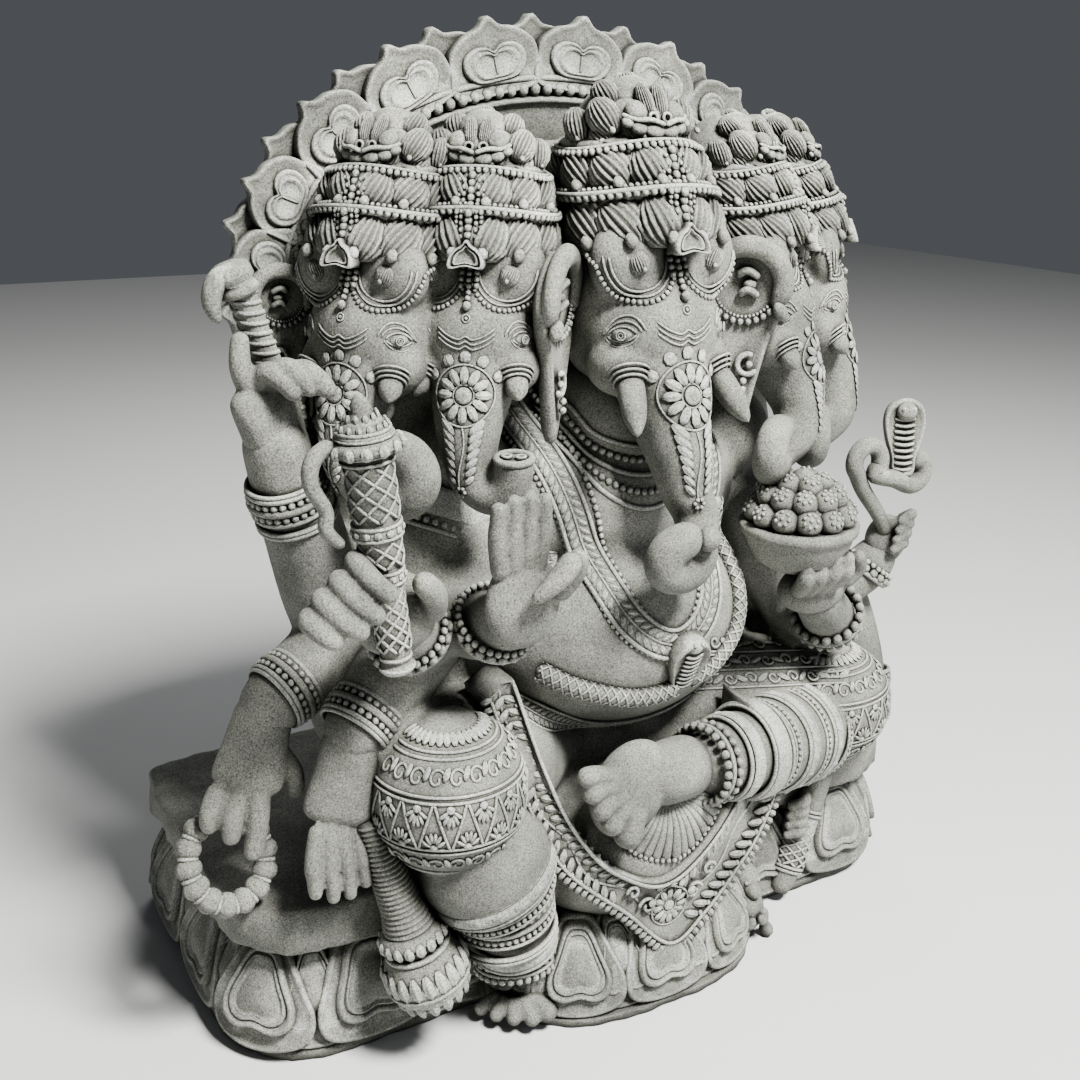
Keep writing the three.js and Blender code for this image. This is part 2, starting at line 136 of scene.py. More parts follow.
def spline(rows, count, closed=False):
    """A smooth curve (Catmull-Rom) through rows of numbers, the first three a place, at equal steps of
    length.
    """
    p = np.asarray(rows, float)
    n = len(p)
    spans = n if closed else n - 1
    t = np.linspace(0, spans, 24 * spans + 1)
    k = np.minimum(t.astype(int), spans - 1)
    f = (t - k)[:, None]
    if closed:
        a, b, c, d = (p[(k + m) % n] for m in (-1, 0, 1, 2))
    else:
        q = np.vstack([2 * p[0] - p[1], p, 2 * p[-1] - p[-2]])
        a, b, c, d = (q[k + m] for m in (0, 1, 2, 3))
    fine = 0.5 * (2 * b + (c - a) * f + (2 * a - 5 * b + 4 * c - d) * f**2 + (3 * b - a - 3 * c + d) * f**3)
    run = run_of(fine[:, :3])
    at = np.linspace(0, run[-1], count + 1)[:-1] if closed else np.linspace(0, run[-1], count)
    return np.stack([np.interp(at, run, column) for column in fine.T], -1)


def unit(v):
    """Vectors at length one."""
    return v / np.maximum(np.linalg.norm(v, axis=-1, keepdims=True), 1e-9)


def run_of(path):
    """How far along a path each of its points is."""
    return np.concatenate([[0], np.cumsum(np.linalg.norm(np.diff(path, axis=0), axis=1))])


def length_of(path):
    """The length of a path."""
    return float(np.linalg.norm(np.diff(path, axis=0), axis=1).sum())


def carried(path, across, through, ref, around=16, closed=False, power=2.0):
    """Rings round a path.

    At each step a squarish oval, half-sizes across (square to ref) and through (along ref).
    """
    ref = np.asarray(ref, float)
    way = np.roll(path, -1, 0) - np.roll(path, 1, 0) if closed else np.gradient(path, axis=0)
    way = unit(way)
    side = unit(np.cross(way, np.broadcast_to(ref, way.shape)))
    front = np.cross(side, way)
    a = round_about(around)
    c, s = np.cos(a), np.sin(a)
    k = (np.abs(c) ** power + np.abs(s) ** power) ** (-1 / power)
    across = np.broadcast_to(across, len(path))
    through = np.broadcast_to(through, len(path))
    return (path[:, None]
            + side[:, None] * (across[:, None] * (k * c))[..., None]
            - front[:, None] * (through[:, None] * (k * s))[..., None])


def rounded(path, radius):
    """Radii that fall to almost nothing over the last radius of length at both ends, as a half circle
    does.
    """
    run = run_of(path)
    near = np.clip(np.minimum(run, run[-1] - run) / np.maximum(radius, 1e-6), 0.02, 1)
    return radius * np.sqrt(1 - (1 - near) ** 2)


def limb(points, radii, ref=(0, 1, 0.1), step=4.0, around=20, flat=1.0):
    """A round-ended limb of changing radius along a smooth curve; flat is its depth over its width."""
    rows = np.column_stack([np.asarray(points, float), np.interp(
        np.linspace(0, 1, len(points)), np.linspace(0, 1, len(radii)), radii)])
    rough = length_of(rows[:, :3])
    line = spline(rows, max(8, int(rough / step)))
    r = rounded(line[:, :3], line[:, 3])
    return skin(carried(line[:, :3], r, r * flat, ref, around))


def wire(path, radius, ref=(0, 1, 0.2), closed=False, around=5):
    """A raised line: a thin round bar half sunk in the surface that its path lies on."""
    r = radius if closed else rounded(path, np.full(len(path), radius))
    return skin(carried(path, r, r, ref, around, closed), closed)


# ---- balls and rows of them ----

def turning(x=0.0, y=0.0, z=0.0):
    """Rotation by degrees about X, then Y, then Z."""
    m = Matrix.Rotation(math.radians(z), 3, "Z") @ Matrix.Rotation(math.radians(y), 3, "Y")
    return np.array(m @ Matrix.Rotation(math.radians(x), 3, "X"))


def ball_rings(around, rows):
    """A unit ball as rings from the bottom pole to the top pole."""
    v = (np.arange(rows) + 0.5) / rows * math.pi
    a = round_about(around)
    return np.stack([np.sin(v)[:, None] * np.cos(a), np.sin(v)[:, None] * np.sin(a),
                     np.broadcast_to(-np.cos(v)[:, None], (rows, around))], -1)


def ball(centre, size, around=28, rows=18, turn=(0, 0, 0)):
    """An ellipsoid."""
    return skin(ball_rings(around, rows) * size @ turning(*turn).T + centre)


def copies(template, centres, frames, sizes):
    """The template set at each centre, in each frame (rows are its X, Y and Z), at each size."""
    p, q, t = template
    centres = np.asarray(centres, float)
    sizes = np.asarray(sizes, float)
    if sizes.ndim == 1:
        sizes = np.broadcast_to(sizes if len(sizes) == 3 else sizes[:, None], (len(centres), 3))
    placed = centres[:, None] + np.einsum("pk,nk,nkj->npj", p, sizes, frames)
    lift = (np.arange(len(centres)) * len(p))[:, None, None]
    return placed.reshape(-1, 3), (q + lift).reshape(-1, 4), (t + lift).reshape(-1, 3)


def upright(normals, up=(0, 0, 1)):
    """Frames whose -Y looks along each normal and whose Z is as near to up as it can be."""
    y = -unit(np.asarray(normals, float))
    x = unit(np.cross(y, np.broadcast_to(up, y.shape)))
    return np.stack([x, y, np.cross(x, y)], 1)


BEAD = skin(ball_rings(6, 4))


def beads(centres, radius):
    """Round beads at the centres."""
    centres = np.asarray(centres, float)
    sizes = np.broadcast_to(radius, len(centres)).astype(float)
    eye = np.broadcast_to(np.eye(3), (len(centres), 3, 3))
    return copies(BEAD, centres, eye, np.repeat(sizes[:, None], 3, 1))


def bead_row(path, pitch, radius, closed=False):
    """Beads at an even pitch along a path."""
    path = np.vstack([path, path[:1]]) if closed else path
    run = run_of(path)
    count = max(2, int(run[-1] / pitch))
    at = (np.arange(count) + 0.5) / count * run[-1]
    return beads(np.stack([np.interp(at, run, c) for c in path.T], -1), radius)


def ribbed(ribs, rows=11, depth=0.16, behind=7):
    """A ball with meridian ribs in front, like a comb-lined lobe.

    The radius swings by depth, four corners to a rib.
    """
    front = -math.pi + np.arange(4 * ribs + 1) / (4 * ribs) * math.pi
    a = np.concatenate([front, np.linspace(0, math.pi, behind + 2)[1:-1]])
    v = (np.arange(rows) + 0.5) / rows * math.pi
    swing = 1 - depth * (0.5 + 0.5 * np.cos(2 * ribs * a))
    return skin(np.stack([np.sin(v)[:, None] * np.cos(a) * swing, np.sin(v)[:, None] * np.sin(a) * swing,
                          np.broadcast_to(-np.cos(v)[:, None], (rows, len(a)))], -1))


LOBE = ribbed(10, 6, 0.26)
LEAF = ribbed(3, 4, 0.24, 2)


# ---- plates drawn from the front ----

def dish(outline, centre, profile):
    """A plate drawn in X and Z.

    For each (scale, depth) the outline shrunk to its centre and pushed out to -Y.
    """
    scale = np.array([s for s, _ in profile])[:, None, None]
    flat = centre + (outline - centre) * scale
    out = np.broadcast_to(np.array([d for _, d in profile])[:, None], flat.shape[:2])
    return np.stack([flat[..., 0], -out, flat[..., 1]], -1)


def outline_of(points, count=40):
    """A closed smooth outline in X and Z, clockwise seen from the front so that its plate faces out."""
    flat = np.asarray(points, float)
    line = spline(np.column_stack([flat, np.zeros(len(flat))]), count, closed=True)[:, :2]
    area = np.sum(line[:, 0] * np.roll(line[:, 1], -1) - np.roll(line[:, 0], -1) * line[:, 1])
    return line if area > 0 else line[::-1]


def moved(parts, matrix, shift):
    """Parts turned by a 3 by 3 matrix (columns are where X, Y and Z go) and shifted."""
    return [(p @ np.asarray(matrix).T + shift, q, t) for p, q, t in parts]


# ---- base ----

BASE = dict(half=520.0, front=-288.0, back=165.0, corner=120.0, top=150.0, swell=46.0)
BULGE = dict(half=235.0, centre=-150.0, depth=258.0, top=128.0, swell=60.0)
PETAL_WIDTH = 150.0
PETAL_START = 44.0
BULGE_PITCH = 128.0


def rounded_plan(half, front, back, radius):
    """A rectangle's plan with big round corners in front and small ones behind, anticlockwise from the
    left front.
    """
    small = radius / 3
    corners = [(half - radius, front + radius, radius, -90), (half - small, back - small, small, 0),
               (-half + small, back - small, small, 90), (-half + radius, front + radius, radius, 180)]
    arcs = []
    for x, y, r, start in corners:
        a = np.radians(start + np.linspace(0, 90, 16))
        arcs.append(np.stack([x + r * np.cos(a), y + r * np.sin(a)], -1))
    return np.vstack([[[-half + radius, front]], *arcs])


def oval_plan(half, centre, depth):
    """The squarish oval of the front bulge."""
    a = np.linspace(math.pi, 3 * math.pi, 181)[:-1]
    c, s = np.cos(a), np.sin(a)
    k = (np.abs(c) ** 2.6 + np.abs(s) ** 2.6) ** (-1 / 2.6)
    return np.stack([half * k * c, centre + depth * k * s], -1)


class Plan:
    """A closed plan walked by length: a place on it and the way out of it at each distance."""

    def __init__(self, points):
        line = np.vstack([points, points[:1]])
        self.run = run_of(line)
        self.line = line
        self.length = self.run[-1]

    def at(self, u):
        def place(v):
            return np.stack([np.interp(v % self.length, self.run, c) for c in self.line.T], -1)
        along = unit(place(u + 9) - place(u - 9))
        return place(np.asarray(u, float)), np.stack([along[..., 1], -along[..., 0]], -1)


def cushion(z, top, swell):
    """How far a petal block stands out at each height.

    A quarter-round cushion from a thin lip up to the slab.
    """
    return -swell * np.clip((z - 14) / (top - 14), 0, 1) ** 2.2


def block(plan, heights, out, count, rough=1.0):
    """Rings of a plan at each height, each pushed out by its own amount, with a little chisel unevenness."""
    u = np.arange(count) / count * plan.length
    place, way = plan.at(u)
    rings = []
    for z, d in zip(heights, out):
        uneven = rough * (1.3 * np.sin(u / 37 + z / 19) + 0.9 * np.sin(u / 13.7 - z / 11) + 0.8
                          * np.sin(u / 5.9 + z / 4))
        rings.append(np.column_stack([place + way * (d + uneven)[:, None], np.full(count, z)]))
    return skin(np.stack(rings))


PETAL = outline_of([(0, 150), (34, 146), (60, 104), (76, 62), (66, 30), (36, 18), (0, 15),
                    (-36, 18), (-66, 30), (-76, 62), (-60, 104), (-34, 146)], 46)
INNER = outline_of([(0, 141), (22, 136), (38, 104), (49, 74), (44, 52), (24, 44), (0, 50),
                    (-24, 44), (-44, 52), (-49, 74), (-38, 104), (-22, 136)], 38)


def hung_petal(plan, u, top, swell, width, lift):
    """A downward petal bent round the plan.

    A plain border, a raised ridge like an upturned heart, and a plain middle.
    """
    grow = np.array([width / 152.0, top / 150.0])
    border = [(0.05, -16), (0.5, -16), (1, -16), (1.0, lift + 1), (0.985, lift + 6), (0.945, lift + 8),
              (0.9, lift + 7), (0.85, lift + 3), (0.5, lift + 3), (0.05, lift + 3)]
    outer = dish(PETAL * grow, np.array([0.0, 78.0]) * grow, border)
    ridges = [(0.05, -8), (0.5, -8), (1.04, -8), (1.04, lift + 4), (0.99, lift + 11), (0.92, lift + 12),
              (0.86, lift + 10), (0.83, lift + 5), (0.8, lift + 9), (0.74, lift + 10), (0.7, lift + 6),
              (0.5, lift + 10), (0.05, lift + 14)]
    inner = dish(INNER * grow, np.array([0.0, 92.0]) * grow, ridges)
    parts = []
    for rings in (outer, inner):
        place, way = plan.at(u + rings[..., 0])
        out = -rings[..., 1] + cushion(rings[..., 2], top, swell)
        parts.append(skin(np.concatenate([place + way * out[..., None], rings[..., 2:]], -1)))
    return parts


def base_parts():
    """The block and its slab, the bulge in front, and a row of petals with another behind it hung
    round each.
    """
    top, swell = BASE["top"], BASE["swell"]
    wings = Plan(rounded_plan(BASE["half"], BASE["front"], BASE["back"], BASE["corner"]))
    z = np.array([0, 1.5, 8, 13, 15, 17, 24, 36, 52, 70, 90, 108, 124, 136, 145, 150])
    parts = [block(wings, z, np.where(z < 14, -3, cushion(z, top, swell) - 9) + np.where(z < 1, -2, 0), 230)]
    slab = np.array([146, 148, 151, 154, 170, 190, 202, 207, 208.5])
    parts.append(block(wings, slab, np.array([-30, -14, -7, -5, -4, -4, -5, -9, -16]), 230, 1.8))
    count = round(wings.length / PETAL_WIDTH)
    pitch = wings.length / count
    for k in range(count):
        parts += hung_petal(wings, k * pitch + PETAL_START, top, swell, PETAL_WIDTH, 0)
        parts += hung_petal(wings, (k + 0.5) * pitch + PETAL_START, top, swell, 120, -9)
    top, swell = BULGE["top"], BULGE["swell"]
    bulge = Plan(oval_plan(BULGE["half"], BULGE["centre"], BULGE["depth"]))
    zb = np.array([0, 1.5, 8, 12, 14, 17, 26, 40, 58, 78, 96, 110, 120, 128])
    out = np.where(zb < 13, -2, cushion(zb, top, swell) - 18) + np.where(zb < 1, -2, 0)
    parts.append(block(bulge, zb, out, 180))
    front = bulge.length * 0.25
    for k in range(-3, 4):
        parts += hung_petal(bulge, front + k * BULGE_PITCH, top, swell, 132, -8)
        parts += hung_petal(bulge, front + (k + 0.5) * BULGE_PITCH, top, swell, 104, -15)
    return parts


# ---- halo ----

HALO = dict(y=-50.0, thick=44.0, half=425.0, spring=898.0, top=1200.0, petal=78.0, pitch=18.5, start=-3.3)


def halo_line(phi, inset, y):
    """A place on the halo's half ellipse, phi degrees from the top; below the spring line it runs
    straight down.
    """
    a = np.radians(phi)
    over = np.clip(np.abs(a) - math.pi / 2, 0, None)
    x = (HALO["half"] - inset) * np.sin(np.clip(a, -math.pi / 2, math.pi / 2))
    rise = HALO["top"] - HALO["spring"] - inset
    z = HALO["spring"] + rise * np.cos(np.minimum(np.abs(a), math.pi / 2)) - over * 330
    return np.stack([x, np.broadcast_to(y, np.shape(x)), z], -1)


OGEE = outline_of([(-36, -8), (-38, 24), (-35, 44), (-22, 60), (-9, 66), (0, 78), (9, 66), (22, 60), (35, 44),
                   (38, 24), (36, -8), (0, -12)], 72)
OGEE_WIDTH = 76.0
HEART = outline_of([(0, 4), (17, 6), (26, 20), (25, 36), (16, 45), (6, 44), (0, 38), (-6, 44), (-16, 45),
                    (-25, 36), (-26, 20), (-17, 6)], 60)


def halo_petal(phi, y, heart):
    """An upright petal.

    A cupped border drawn to a tip, and inside it a double-ridged heart with a small spike.
    """
    border = [(0.05, -20), (0.9, -20), (1, -16), (1, -3), (0.98, 0), (0.93, 0.5), (0.84, -2), (0.72, -3),
              (0.4, -3), (0.05, -3)]
    sets = [dish(OGEE, np.array([0.0, 30.0]), border)]
    if heart:
        ridges = [(0.05, -8), (0.9, -8), (1, -5), (1.0, 0), (0.96, 2.5), (0.88, 3), (0.82, 1), (0.76, 1),
                  (0.71, 3), (0.64, 3), (0.58, 0.5), (0.3, 0), (0.05, 0)]
        sets.append(dish(HEART, np.array([0.0, 22.0]), ridges))
    foot = halo_line(phi, HALO["petal"], y)
    tip = halo_line(phi, 0, y)
    up = unit(tip - foot)
    side = np.cross([0, 1.0, 0], up)
    stretch = np.linalg.norm(tip - foot) / HALO["petal"]
    half = HALO["pitch"] / 2
    near = halo_line(np.array([phi - half, phi + half]), 40, y)
    width = np.linalg.norm(near[1] - near[0]) / OGEE_WIDTH
    parts = []
    for rings in sets:
        p, q, t = skin(rings)
        place = foot + p[:, :1] * side * width + p[:, 1:2] * np.array([0, 1.0, 0]) + p[:, 2:] * up * stretch
        parts.append((place, q, t))
    if heart:
        stem = foot + np.array([[0, -1, 10], [0, -1.5, 22], [0, -1, 34]])[:, :1] * side
        stem = stem + np.array([10.0, 22.0, 34.0])[:, None] * up * stretch - [0, 0.6, 0]
        parts.append(wire(spline(stem, 10), 1.5))
    return parts


def halo_parts():
    """The arched plate, two rows of petals round it, and a bead string between two lines inside them."""
    y = HALO["y"] - HALO["thick"] / 2
    back = HALO["y"] + HALO["thick"] / 2
    phi = np.linspace(-118, 118, 150)
    parts = []
    arch = halo_line(phi, 62, 0.0)[:, [0, 2]]
    low = np.array([(0.97, -14), (0.9, -24), (0.78, -30), (0.6, -34), (0.3, -36)])
    foot_right = arch[-1] * [1, 0] * low[:, :1] + [0, 1] * (arch[-1, 1] + low[:, 1:])
    foot_left = (foot_right * [-1, 1])[::-1]
    face = outline_of(np.vstack([arch, foot_right, foot_left]), 260)
    plate = [(0.05, -back), (0.6, -back), (0.97, -back), (1, 4 - back), (1, -y - 8), (0.985, -y - 6),
             (0.955, -y - 6), (0.95, -y - 9), (0.6, -y - 9), (0.05, -y - 9)]
    parts.append(skin(dish(face, np.array([0.0, 820.0]), plate)))
    for k in range(-5, 6):
        parts += halo_petal(HALO["start"] + k * HALO["pitch"], y + 13, False)
        if k < 5:
            parts += halo_petal(HALO["start"] + (k + 0.5) * HALO["pitch"], y, True)
    for inset, radius in ((74, 4.5), (99, 4.0)):
        parts.append(wire(halo_line(phi, inset, y + 4), radius, around=8))
    parts.append(bead_row(halo_line(phi, 87, y + 3), 16.5, 7.8))
    return parts


# ---- crowns ----

CROWN_WALL = [(0, 40), (26, 62), (34, 82), (80, 84), (86, 88), (92, 78), (126, 74), (132, 78), (138, 64),
              (166, 52), (186, 34), (200, 8)]
# How far the tiers of locks and ropes of beads sag to each side of the crown.
SWAG = 13.0


def crown_wall(z):
    """The radius of the crown's core at each height above its foot."""
    heights, radii = np.array(CROWN_WALL, float).T
    return np.interp(z, heights, radii)


def crown_ring(height, extra):
    """A sagging ring of points round the crown, extra outside its core."""
    a = round_about(90)
    r = crown_wall(height) + extra
    return np.stack([r * np.cos(a), r * np.sin(a), height + 4 - SWAG * np.cos(a) ** 2], -1)


def locks(height, count, size, tilt):
    """A tier of comb-lined locks, each leaning away from the middle and ending in a small button."""
    a = (np.arange(count) + 0.5) / count * TAU + 1.5 * math.pi
    a = a[np.sin(a) < 0.72]
    out = np.stack([np.cos(a), np.sin(a), np.zeros(len(a))], -1)
    centre = out * (crown_wall(height) - 2) + [0, 0, height]
    centre[:, 2] += 3 - SWAG * out[:, 0] ** 2
    lean = np.radians(tilt) * np.sign(out[:, 0]) * np.minimum(1, np.abs(out[:, 0]) * 2.2)
    up = np.stack([np.sin(lean) * -out[:, 1], np.sin(lean) * out[:, 0], np.cos(lean)], -1)
    button = centre + out * size[1] * 0.82 - up * size[2] * 0.66
    return [copies(LOBE, centre, upright(out, up), np.array(size, float)), beads(button, size[0] * 0.24)]


def crown_plate():
    """The small pointed arch at the foot of the crown, in double lines, and the stack of beads above it."""
    arch = outline_of([(-21, -4), (-21, 9), (-14, 18), (-6, 23), (0, 30), (6, 23), (14, 18), (21, 9),
                       (21, -4), (0, -1)], 40)
    ridges = [(0.05, 88), (1, 88), (1, 104), (0.95, 108), (0.84, 108), (0.8, 103), (0.72, 103), (0.67, 106),
              (0.58, 106), (0.5, 102), (0.05, 102)]
    rings = dish(arch, np.array([0.0, 10.0]), ridges)
    parts = [skin(rings + [0, 0, 26.0])]
    z = np.linspace(60, 128, 9)
    parts.append(beads(np.stack([np.zeros(9), -crown_wall(z) - 15 + (z - 60) * 0.05, z], -1), 5.2))
    for s in (-1, 1):
        for x, size in ((9, 3.4), (15, 2.8)):
            row = np.linspace(54, 126, 40)
            parts.append(bead_row(np.stack([np.full(40, s * x), -crown_wall(row) - 14 + x * 0.2, row], -1),
                                  size * 2.1, size))
    return parts


def beast_face():
    """The beast's face on top of a crown.

    Two round eyes under comb-lined horns, a wavy lip below, comb-lined pads at the sides, and a bud.
    """
    parts = [ball((0, -36, 158), (46, 34, 26), 28, 16), ball((0, -26, 180), (32, 28, 24), 24, 14)]
    for s in (-1, 1):
        parts.append(ball((s * 24, -62, 165), (13, 12, 13), 20, 12))
        for x, z, size in ((9, 147, (12, 8, 9)), (24, 150, (11, 8, 8)), (36, 155, (8, 7, 6))):
            parts.append(ball((s * x, -76 + x * 0.35, z), size, 18, 11))
        parts.append(wire(spline(np.array([(0, -82, 153), (s * 16, -80, 158), (s * 30, -72, 158),
                                           (s * 42, -60, 163)], float), 20), 3.0))
        horn = upright(np.array([[s * 0.1, -1.0, 0.25]]), (s * 0.12, 0, 1))
        parts.append(copies(LOBE, [[s * 9, -60, 176]], horn, np.array([9.5, 12, 21])))
        parts.append(wire(circle((s * 9, -73, 160), (0, 1, 0), 5.0, 16), 2.0, ref=(0, 1, 0), closed=True))
        for x, y, z, size in ((50, -38, 160, (22, 18, 21)), (66, -8, 150, (17, 18, 20)),
                              (34, -22, 182, (19, 18, 17))):
            way = np.array([[s * x * 0.9, y, 0.0]])
            parts.append(copies(LOBE, [[s * x, y, z]], upright(way, (s * 0.9, 0, 1)), np.array(size, float)))
            parts.append(beads([[s * x * 1.12, y * 1.5 - 4, z - size[2] * 0.62]], 3.6))
    parts.append(copies(LOBE, [[0, -18, 193]], upright(np.array([[0, -1.0, 0.4]])), np.array([15.0, 17, 15])))
    return parts


def crown_parts():
    """Shrinking tiers of comb-lined locks with bead ropes between, a pointed plate in front and a
    beast face on top.
    """
    z = np.linspace(0, 200, 34)
    a = round_about(48)
    r = crown_wall(z)
    core = [r[:, None] * np.cos(a), r[:, None] * np.sin(a), np.broadcast_to(z[:, None], (34, 48))]
    parts = [skin(np.stack(core, -1))]
    parts += locks(54, 12, (34, 22, 29), 42)
    parts += locks(109, 11, (31, 20, 24), 46)
    parts += locks(148, 9, (20, 15, 15), 40)
    for height, extra, radius in ((84, 10, 4.6), (91, 12, 3.4), (130, 7, 4.2)):
        parts.append(bead_row(crown_ring(height, extra), radius * 2.05, radius, closed=True))
    parts.append(wire(crown_ring(87.5, 12), 3.0, closed=True, ref=(0, 0, 1)))
    parts.append(wire(crown_ring(134, 6), 2.6, closed=True, ref=(0, 0, 1)))
    parts += crown_plate() + beast_face()
    lean = np.array([[1, 0, 0], [0, 1, 0.3], [0, 0, 1.0]])
    return moved(parts, lean, np.array([0, -10.0, 62.0]))


# ---- surfaces read from one side ----

class Field:
    """How far a set of surfaces reaches towards a viewer, on a grid, so that relief can be dropped onto them.

    Every quad is sampled six by six times and each cell keeps its nearest sample. Pits and holes are closed by
    spreading the nearest values out and drawing them in again, and the result is smoothed.
    """

    def __init__(self, parts, turn=0.0, rise=0.0, cell=3.0):
        t, e = math.radians(turn), math.radians(rise)
        self.right = np.array([math.cos(t), math.sin(t), 0])
        self.back = np.array([math.sin(t) * math.cos(e), -math.cos(t) * math.cos(e), math.sin(e)])
        self.up = np.cross(self.back, self.right)
        self.cell = cell
        samples = []
        f = (np.arange(6) / 6)[:, None, None]
        for p, q, _ in parts:
            a, b, c, d = (p[q[:, k]] for k in range(4))
            low, high = a + (b - a) * f, d + (c - d) * f
            samples.append((low[:, None] + (high - low)[:, None] * f[None]).reshape(-1, 3))
        cloud = np.concatenate(samples)
        u, v = cloud @ self.right, cloud @ self.up
        self.low = np.array([u.min(), v.min()]) - 4 * cell
        size = (np.array([u.max(), v.max()]) - self.low) / cell + 5
        grid = np.full((int(size[1]), int(size[0])), -1e4)
        np.maximum.at(grid, (((v - self.low[1]) / cell).astype(int), ((u - self.low[0]) / cell).astype(int)),
                      cloud @ self.back)
        for pick in (np.maximum, np.maximum, np.minimum, np.minimum):
            grid = pick.reduce([np.roll(grid, (s, k), (0, 1)) for s in (-1, 0, 1) for k in (-1, 0, 1)])
        grid[grid < -9e3] = grid[grid > -9e3].min()
        for _ in range(2):
            around = sum(np.roll(grid, s, k) for s in (-1, 1) for k in (0, 1)) / 4
            grid = np.where(grid - around < 12, (grid + around) / 2, grid)
        self.grid = grid

    def depth(self, u, v):
        rows, columns = self.grid.shape
        x = np.clip((u - self.low[0]) / self.cell - 0.5, 0, columns - 1.01)
        y = np.clip((v - self.low[1]) / self.cell - 0.5, 0, rows - 1.01)
        i, k = x.astype(int), y.astype(int)
        fx, fy = x - i, y - k
        g = self.grid
        low = g[k, i] * (1 - fx) + g[k, i + 1] * fx
        high = g[k + 1, i] * (1 - fx) + g[k + 1, i + 1] * fx
        return low * (1 - fy) + high * fy

    def drop(self, points, lift=0.0):
        """Points moved along the line of sight onto the surface, then lifted along its normal; and the
        normals.
        """
        points = np.asarray(points, float)
        u, v = points @ self.right, points @ self.up
        w = self.depth(u, v)
        e = self.cell
        slope_u = np.clip((self.depth(u + e, v) - self.depth(u - e, v)) / (2 * e), -3, 3)
        slope_v = np.clip((self.depth(u, v + e) - self.depth(u, v - e)) / (2 * e), -3, 3)
        normal = unit(self.back - slope_u[:, None] * self.right - slope_v[:, None] * self.up)
        return u[:, None] * self.right + v[:, None] * self.up + w[:, None] * self.back + normal * lift, normal


def flat_points(x, z):
    """Places in X and Z as points at no depth."""
    x, z = np.broadcast_arrays(np.asarray(x, float), np.asarray(z, float))
    return np.stack([x, np.zeros_like(x), z], -1)


def eased(rows, times):
    """Rows averaged with their neighbours several times over, the ends held."""
    for _ in range(times):
        rows = np.concatenate([rows[:1], (rows[:-2] + 2 * rows[1:-1] + rows[2:]) / 4, rows[-1:]])
    return rows


def laid_line(field, points, radius, count):
    """A raised line along a smooth curve dropped onto a field."""
    path, normal = field.drop(spline(points, count))
    return wire(path, radius, ref=normal)


def laid_beads(field, points, pitch, radius):
    """A row of beads along a smooth curve dropped onto a field."""
    path, _ = field.drop(spline(points, 120))
    return bead_row(eased(path, 4), pitch, radius)


def laid_band(field, points, width, thick=4.0, count=None):
    """A band laid on a field.

    A flat strip with raised edges and, between them, leaves in pairs like a laurel.
    """
    rough = spline(points, 30)
    steps = count or max(12, int(length_of(rough) / 5))
    path, normal = field.drop(spline(points, steps), 0)
    path, normal = eased(path, 20), unit(eased(normal, 30))
    way = unit(np.gradient(path, axis=0))
    side = unit(np.cross(way, normal))
    parts = [skin(carried(path, width / 2, thick, normal, 12, power=5))]
    for s in (-1, 1):
        parts.append(wire(path + side * s * width * 0.47 + normal * thick * 0.7, width * 0.06 + 0.8,
                          ref=normal))
    run = run_of(path)
    n = max(2, int(run[-1] / (width * 0.32)))
    at = (np.arange(n) + 0.5) / n * run[-1]

    def along(rows):
        return np.stack([np.interp(at, run, c) for c in rows.T], -1)

    mid, w, nn, ss = along(path), along(way), along(normal), along(side)
    for s in (-1, 1):
        centre = mid + ss * s * width * 0.21 + nn * thick * 0.75
        parts.append(copies(LEAF, centre, upright(nn, w * 0.75 + ss * s * 0.65),
                            np.array([width * 0.11, 3.4, width * 0.23])))
    parts.append(wire(path + normal * thick, 1.6, ref=normal))
    return parts


def circle(centre, way, radius, count=48, flat=1.0, ref=(0, 0, 1)):
    """A closed ring of points round a line; flat squeezes it along ref."""
    way = unit(np.asarray(way, float))
    side = unit(np.cross(way, np.asarray(ref, float)))
    up = np.cross(side, way)
    a = round_about(count)
    return np.asarray(centre, float) + radius * (np.cos(a)[:, None] * side + flat * np.sin(a)[:, None] * up)


def spun(a, side, front):
    """Ways from a line outward at angles a, between side and front."""
    return np.cos(a)[:, None] * side + np.sin(a)[:, None] * front


def bangle(centre, way, radius, rows, flat=1.0):
    """Rings worn round a limb: (shift along the limb, kind, size) rows of plain rings, beads and ropes."""
    way = unit(np.asarray(way, float))
    parts = []
    for shift, kind, size in rows:
        at = np.asarray(centre, float) + way * shift
        ring = circle(at, way, radius + size * 0.3, flat=flat)
        if kind == "ring":
            parts.append(wire(ring, size, ref=way, closed=True, around=8))
        if kind == "beads":
            parts.append(bead_row(ring, size * 2.05, size, closed=True))
        if kind == "leaves":
            parts.append(skin(carried(ring, 2.5, size, way, 10, closed=True, power=4), closed=True))
            place = circle(at, way, radius + 2, 18, flat)
            out = unit(place - at)
            parts.append(copies(LEAF, place, upright(out, way), np.array([radius * 0.16, 5.0, size])))
    return parts


# ---- heads ----

TRUNK_ROOT = [(0, -34, 10, 62, 58), (0, -46, -28, 62, 58), (0, -64, -70, 54, 54), (0, -84, -110, 44, 46)]


def turn_of(centre, radii, start, end, depth, tube, count=11):
    """A trunk's curl: (x, y, z, tube, tube) along an oval between two angles, coming forward and thinning."""
    a = np.radians(np.linspace(start, end, count))
    y = centre[1] + np.linspace(0, depth, count)
    r = np.linspace(tube[0], tube[1], count)
    return np.column_stack([centre[0] + radii[0] * np.cos(a), y, centre[2] + radii[1] * np.sin(a), r, r])


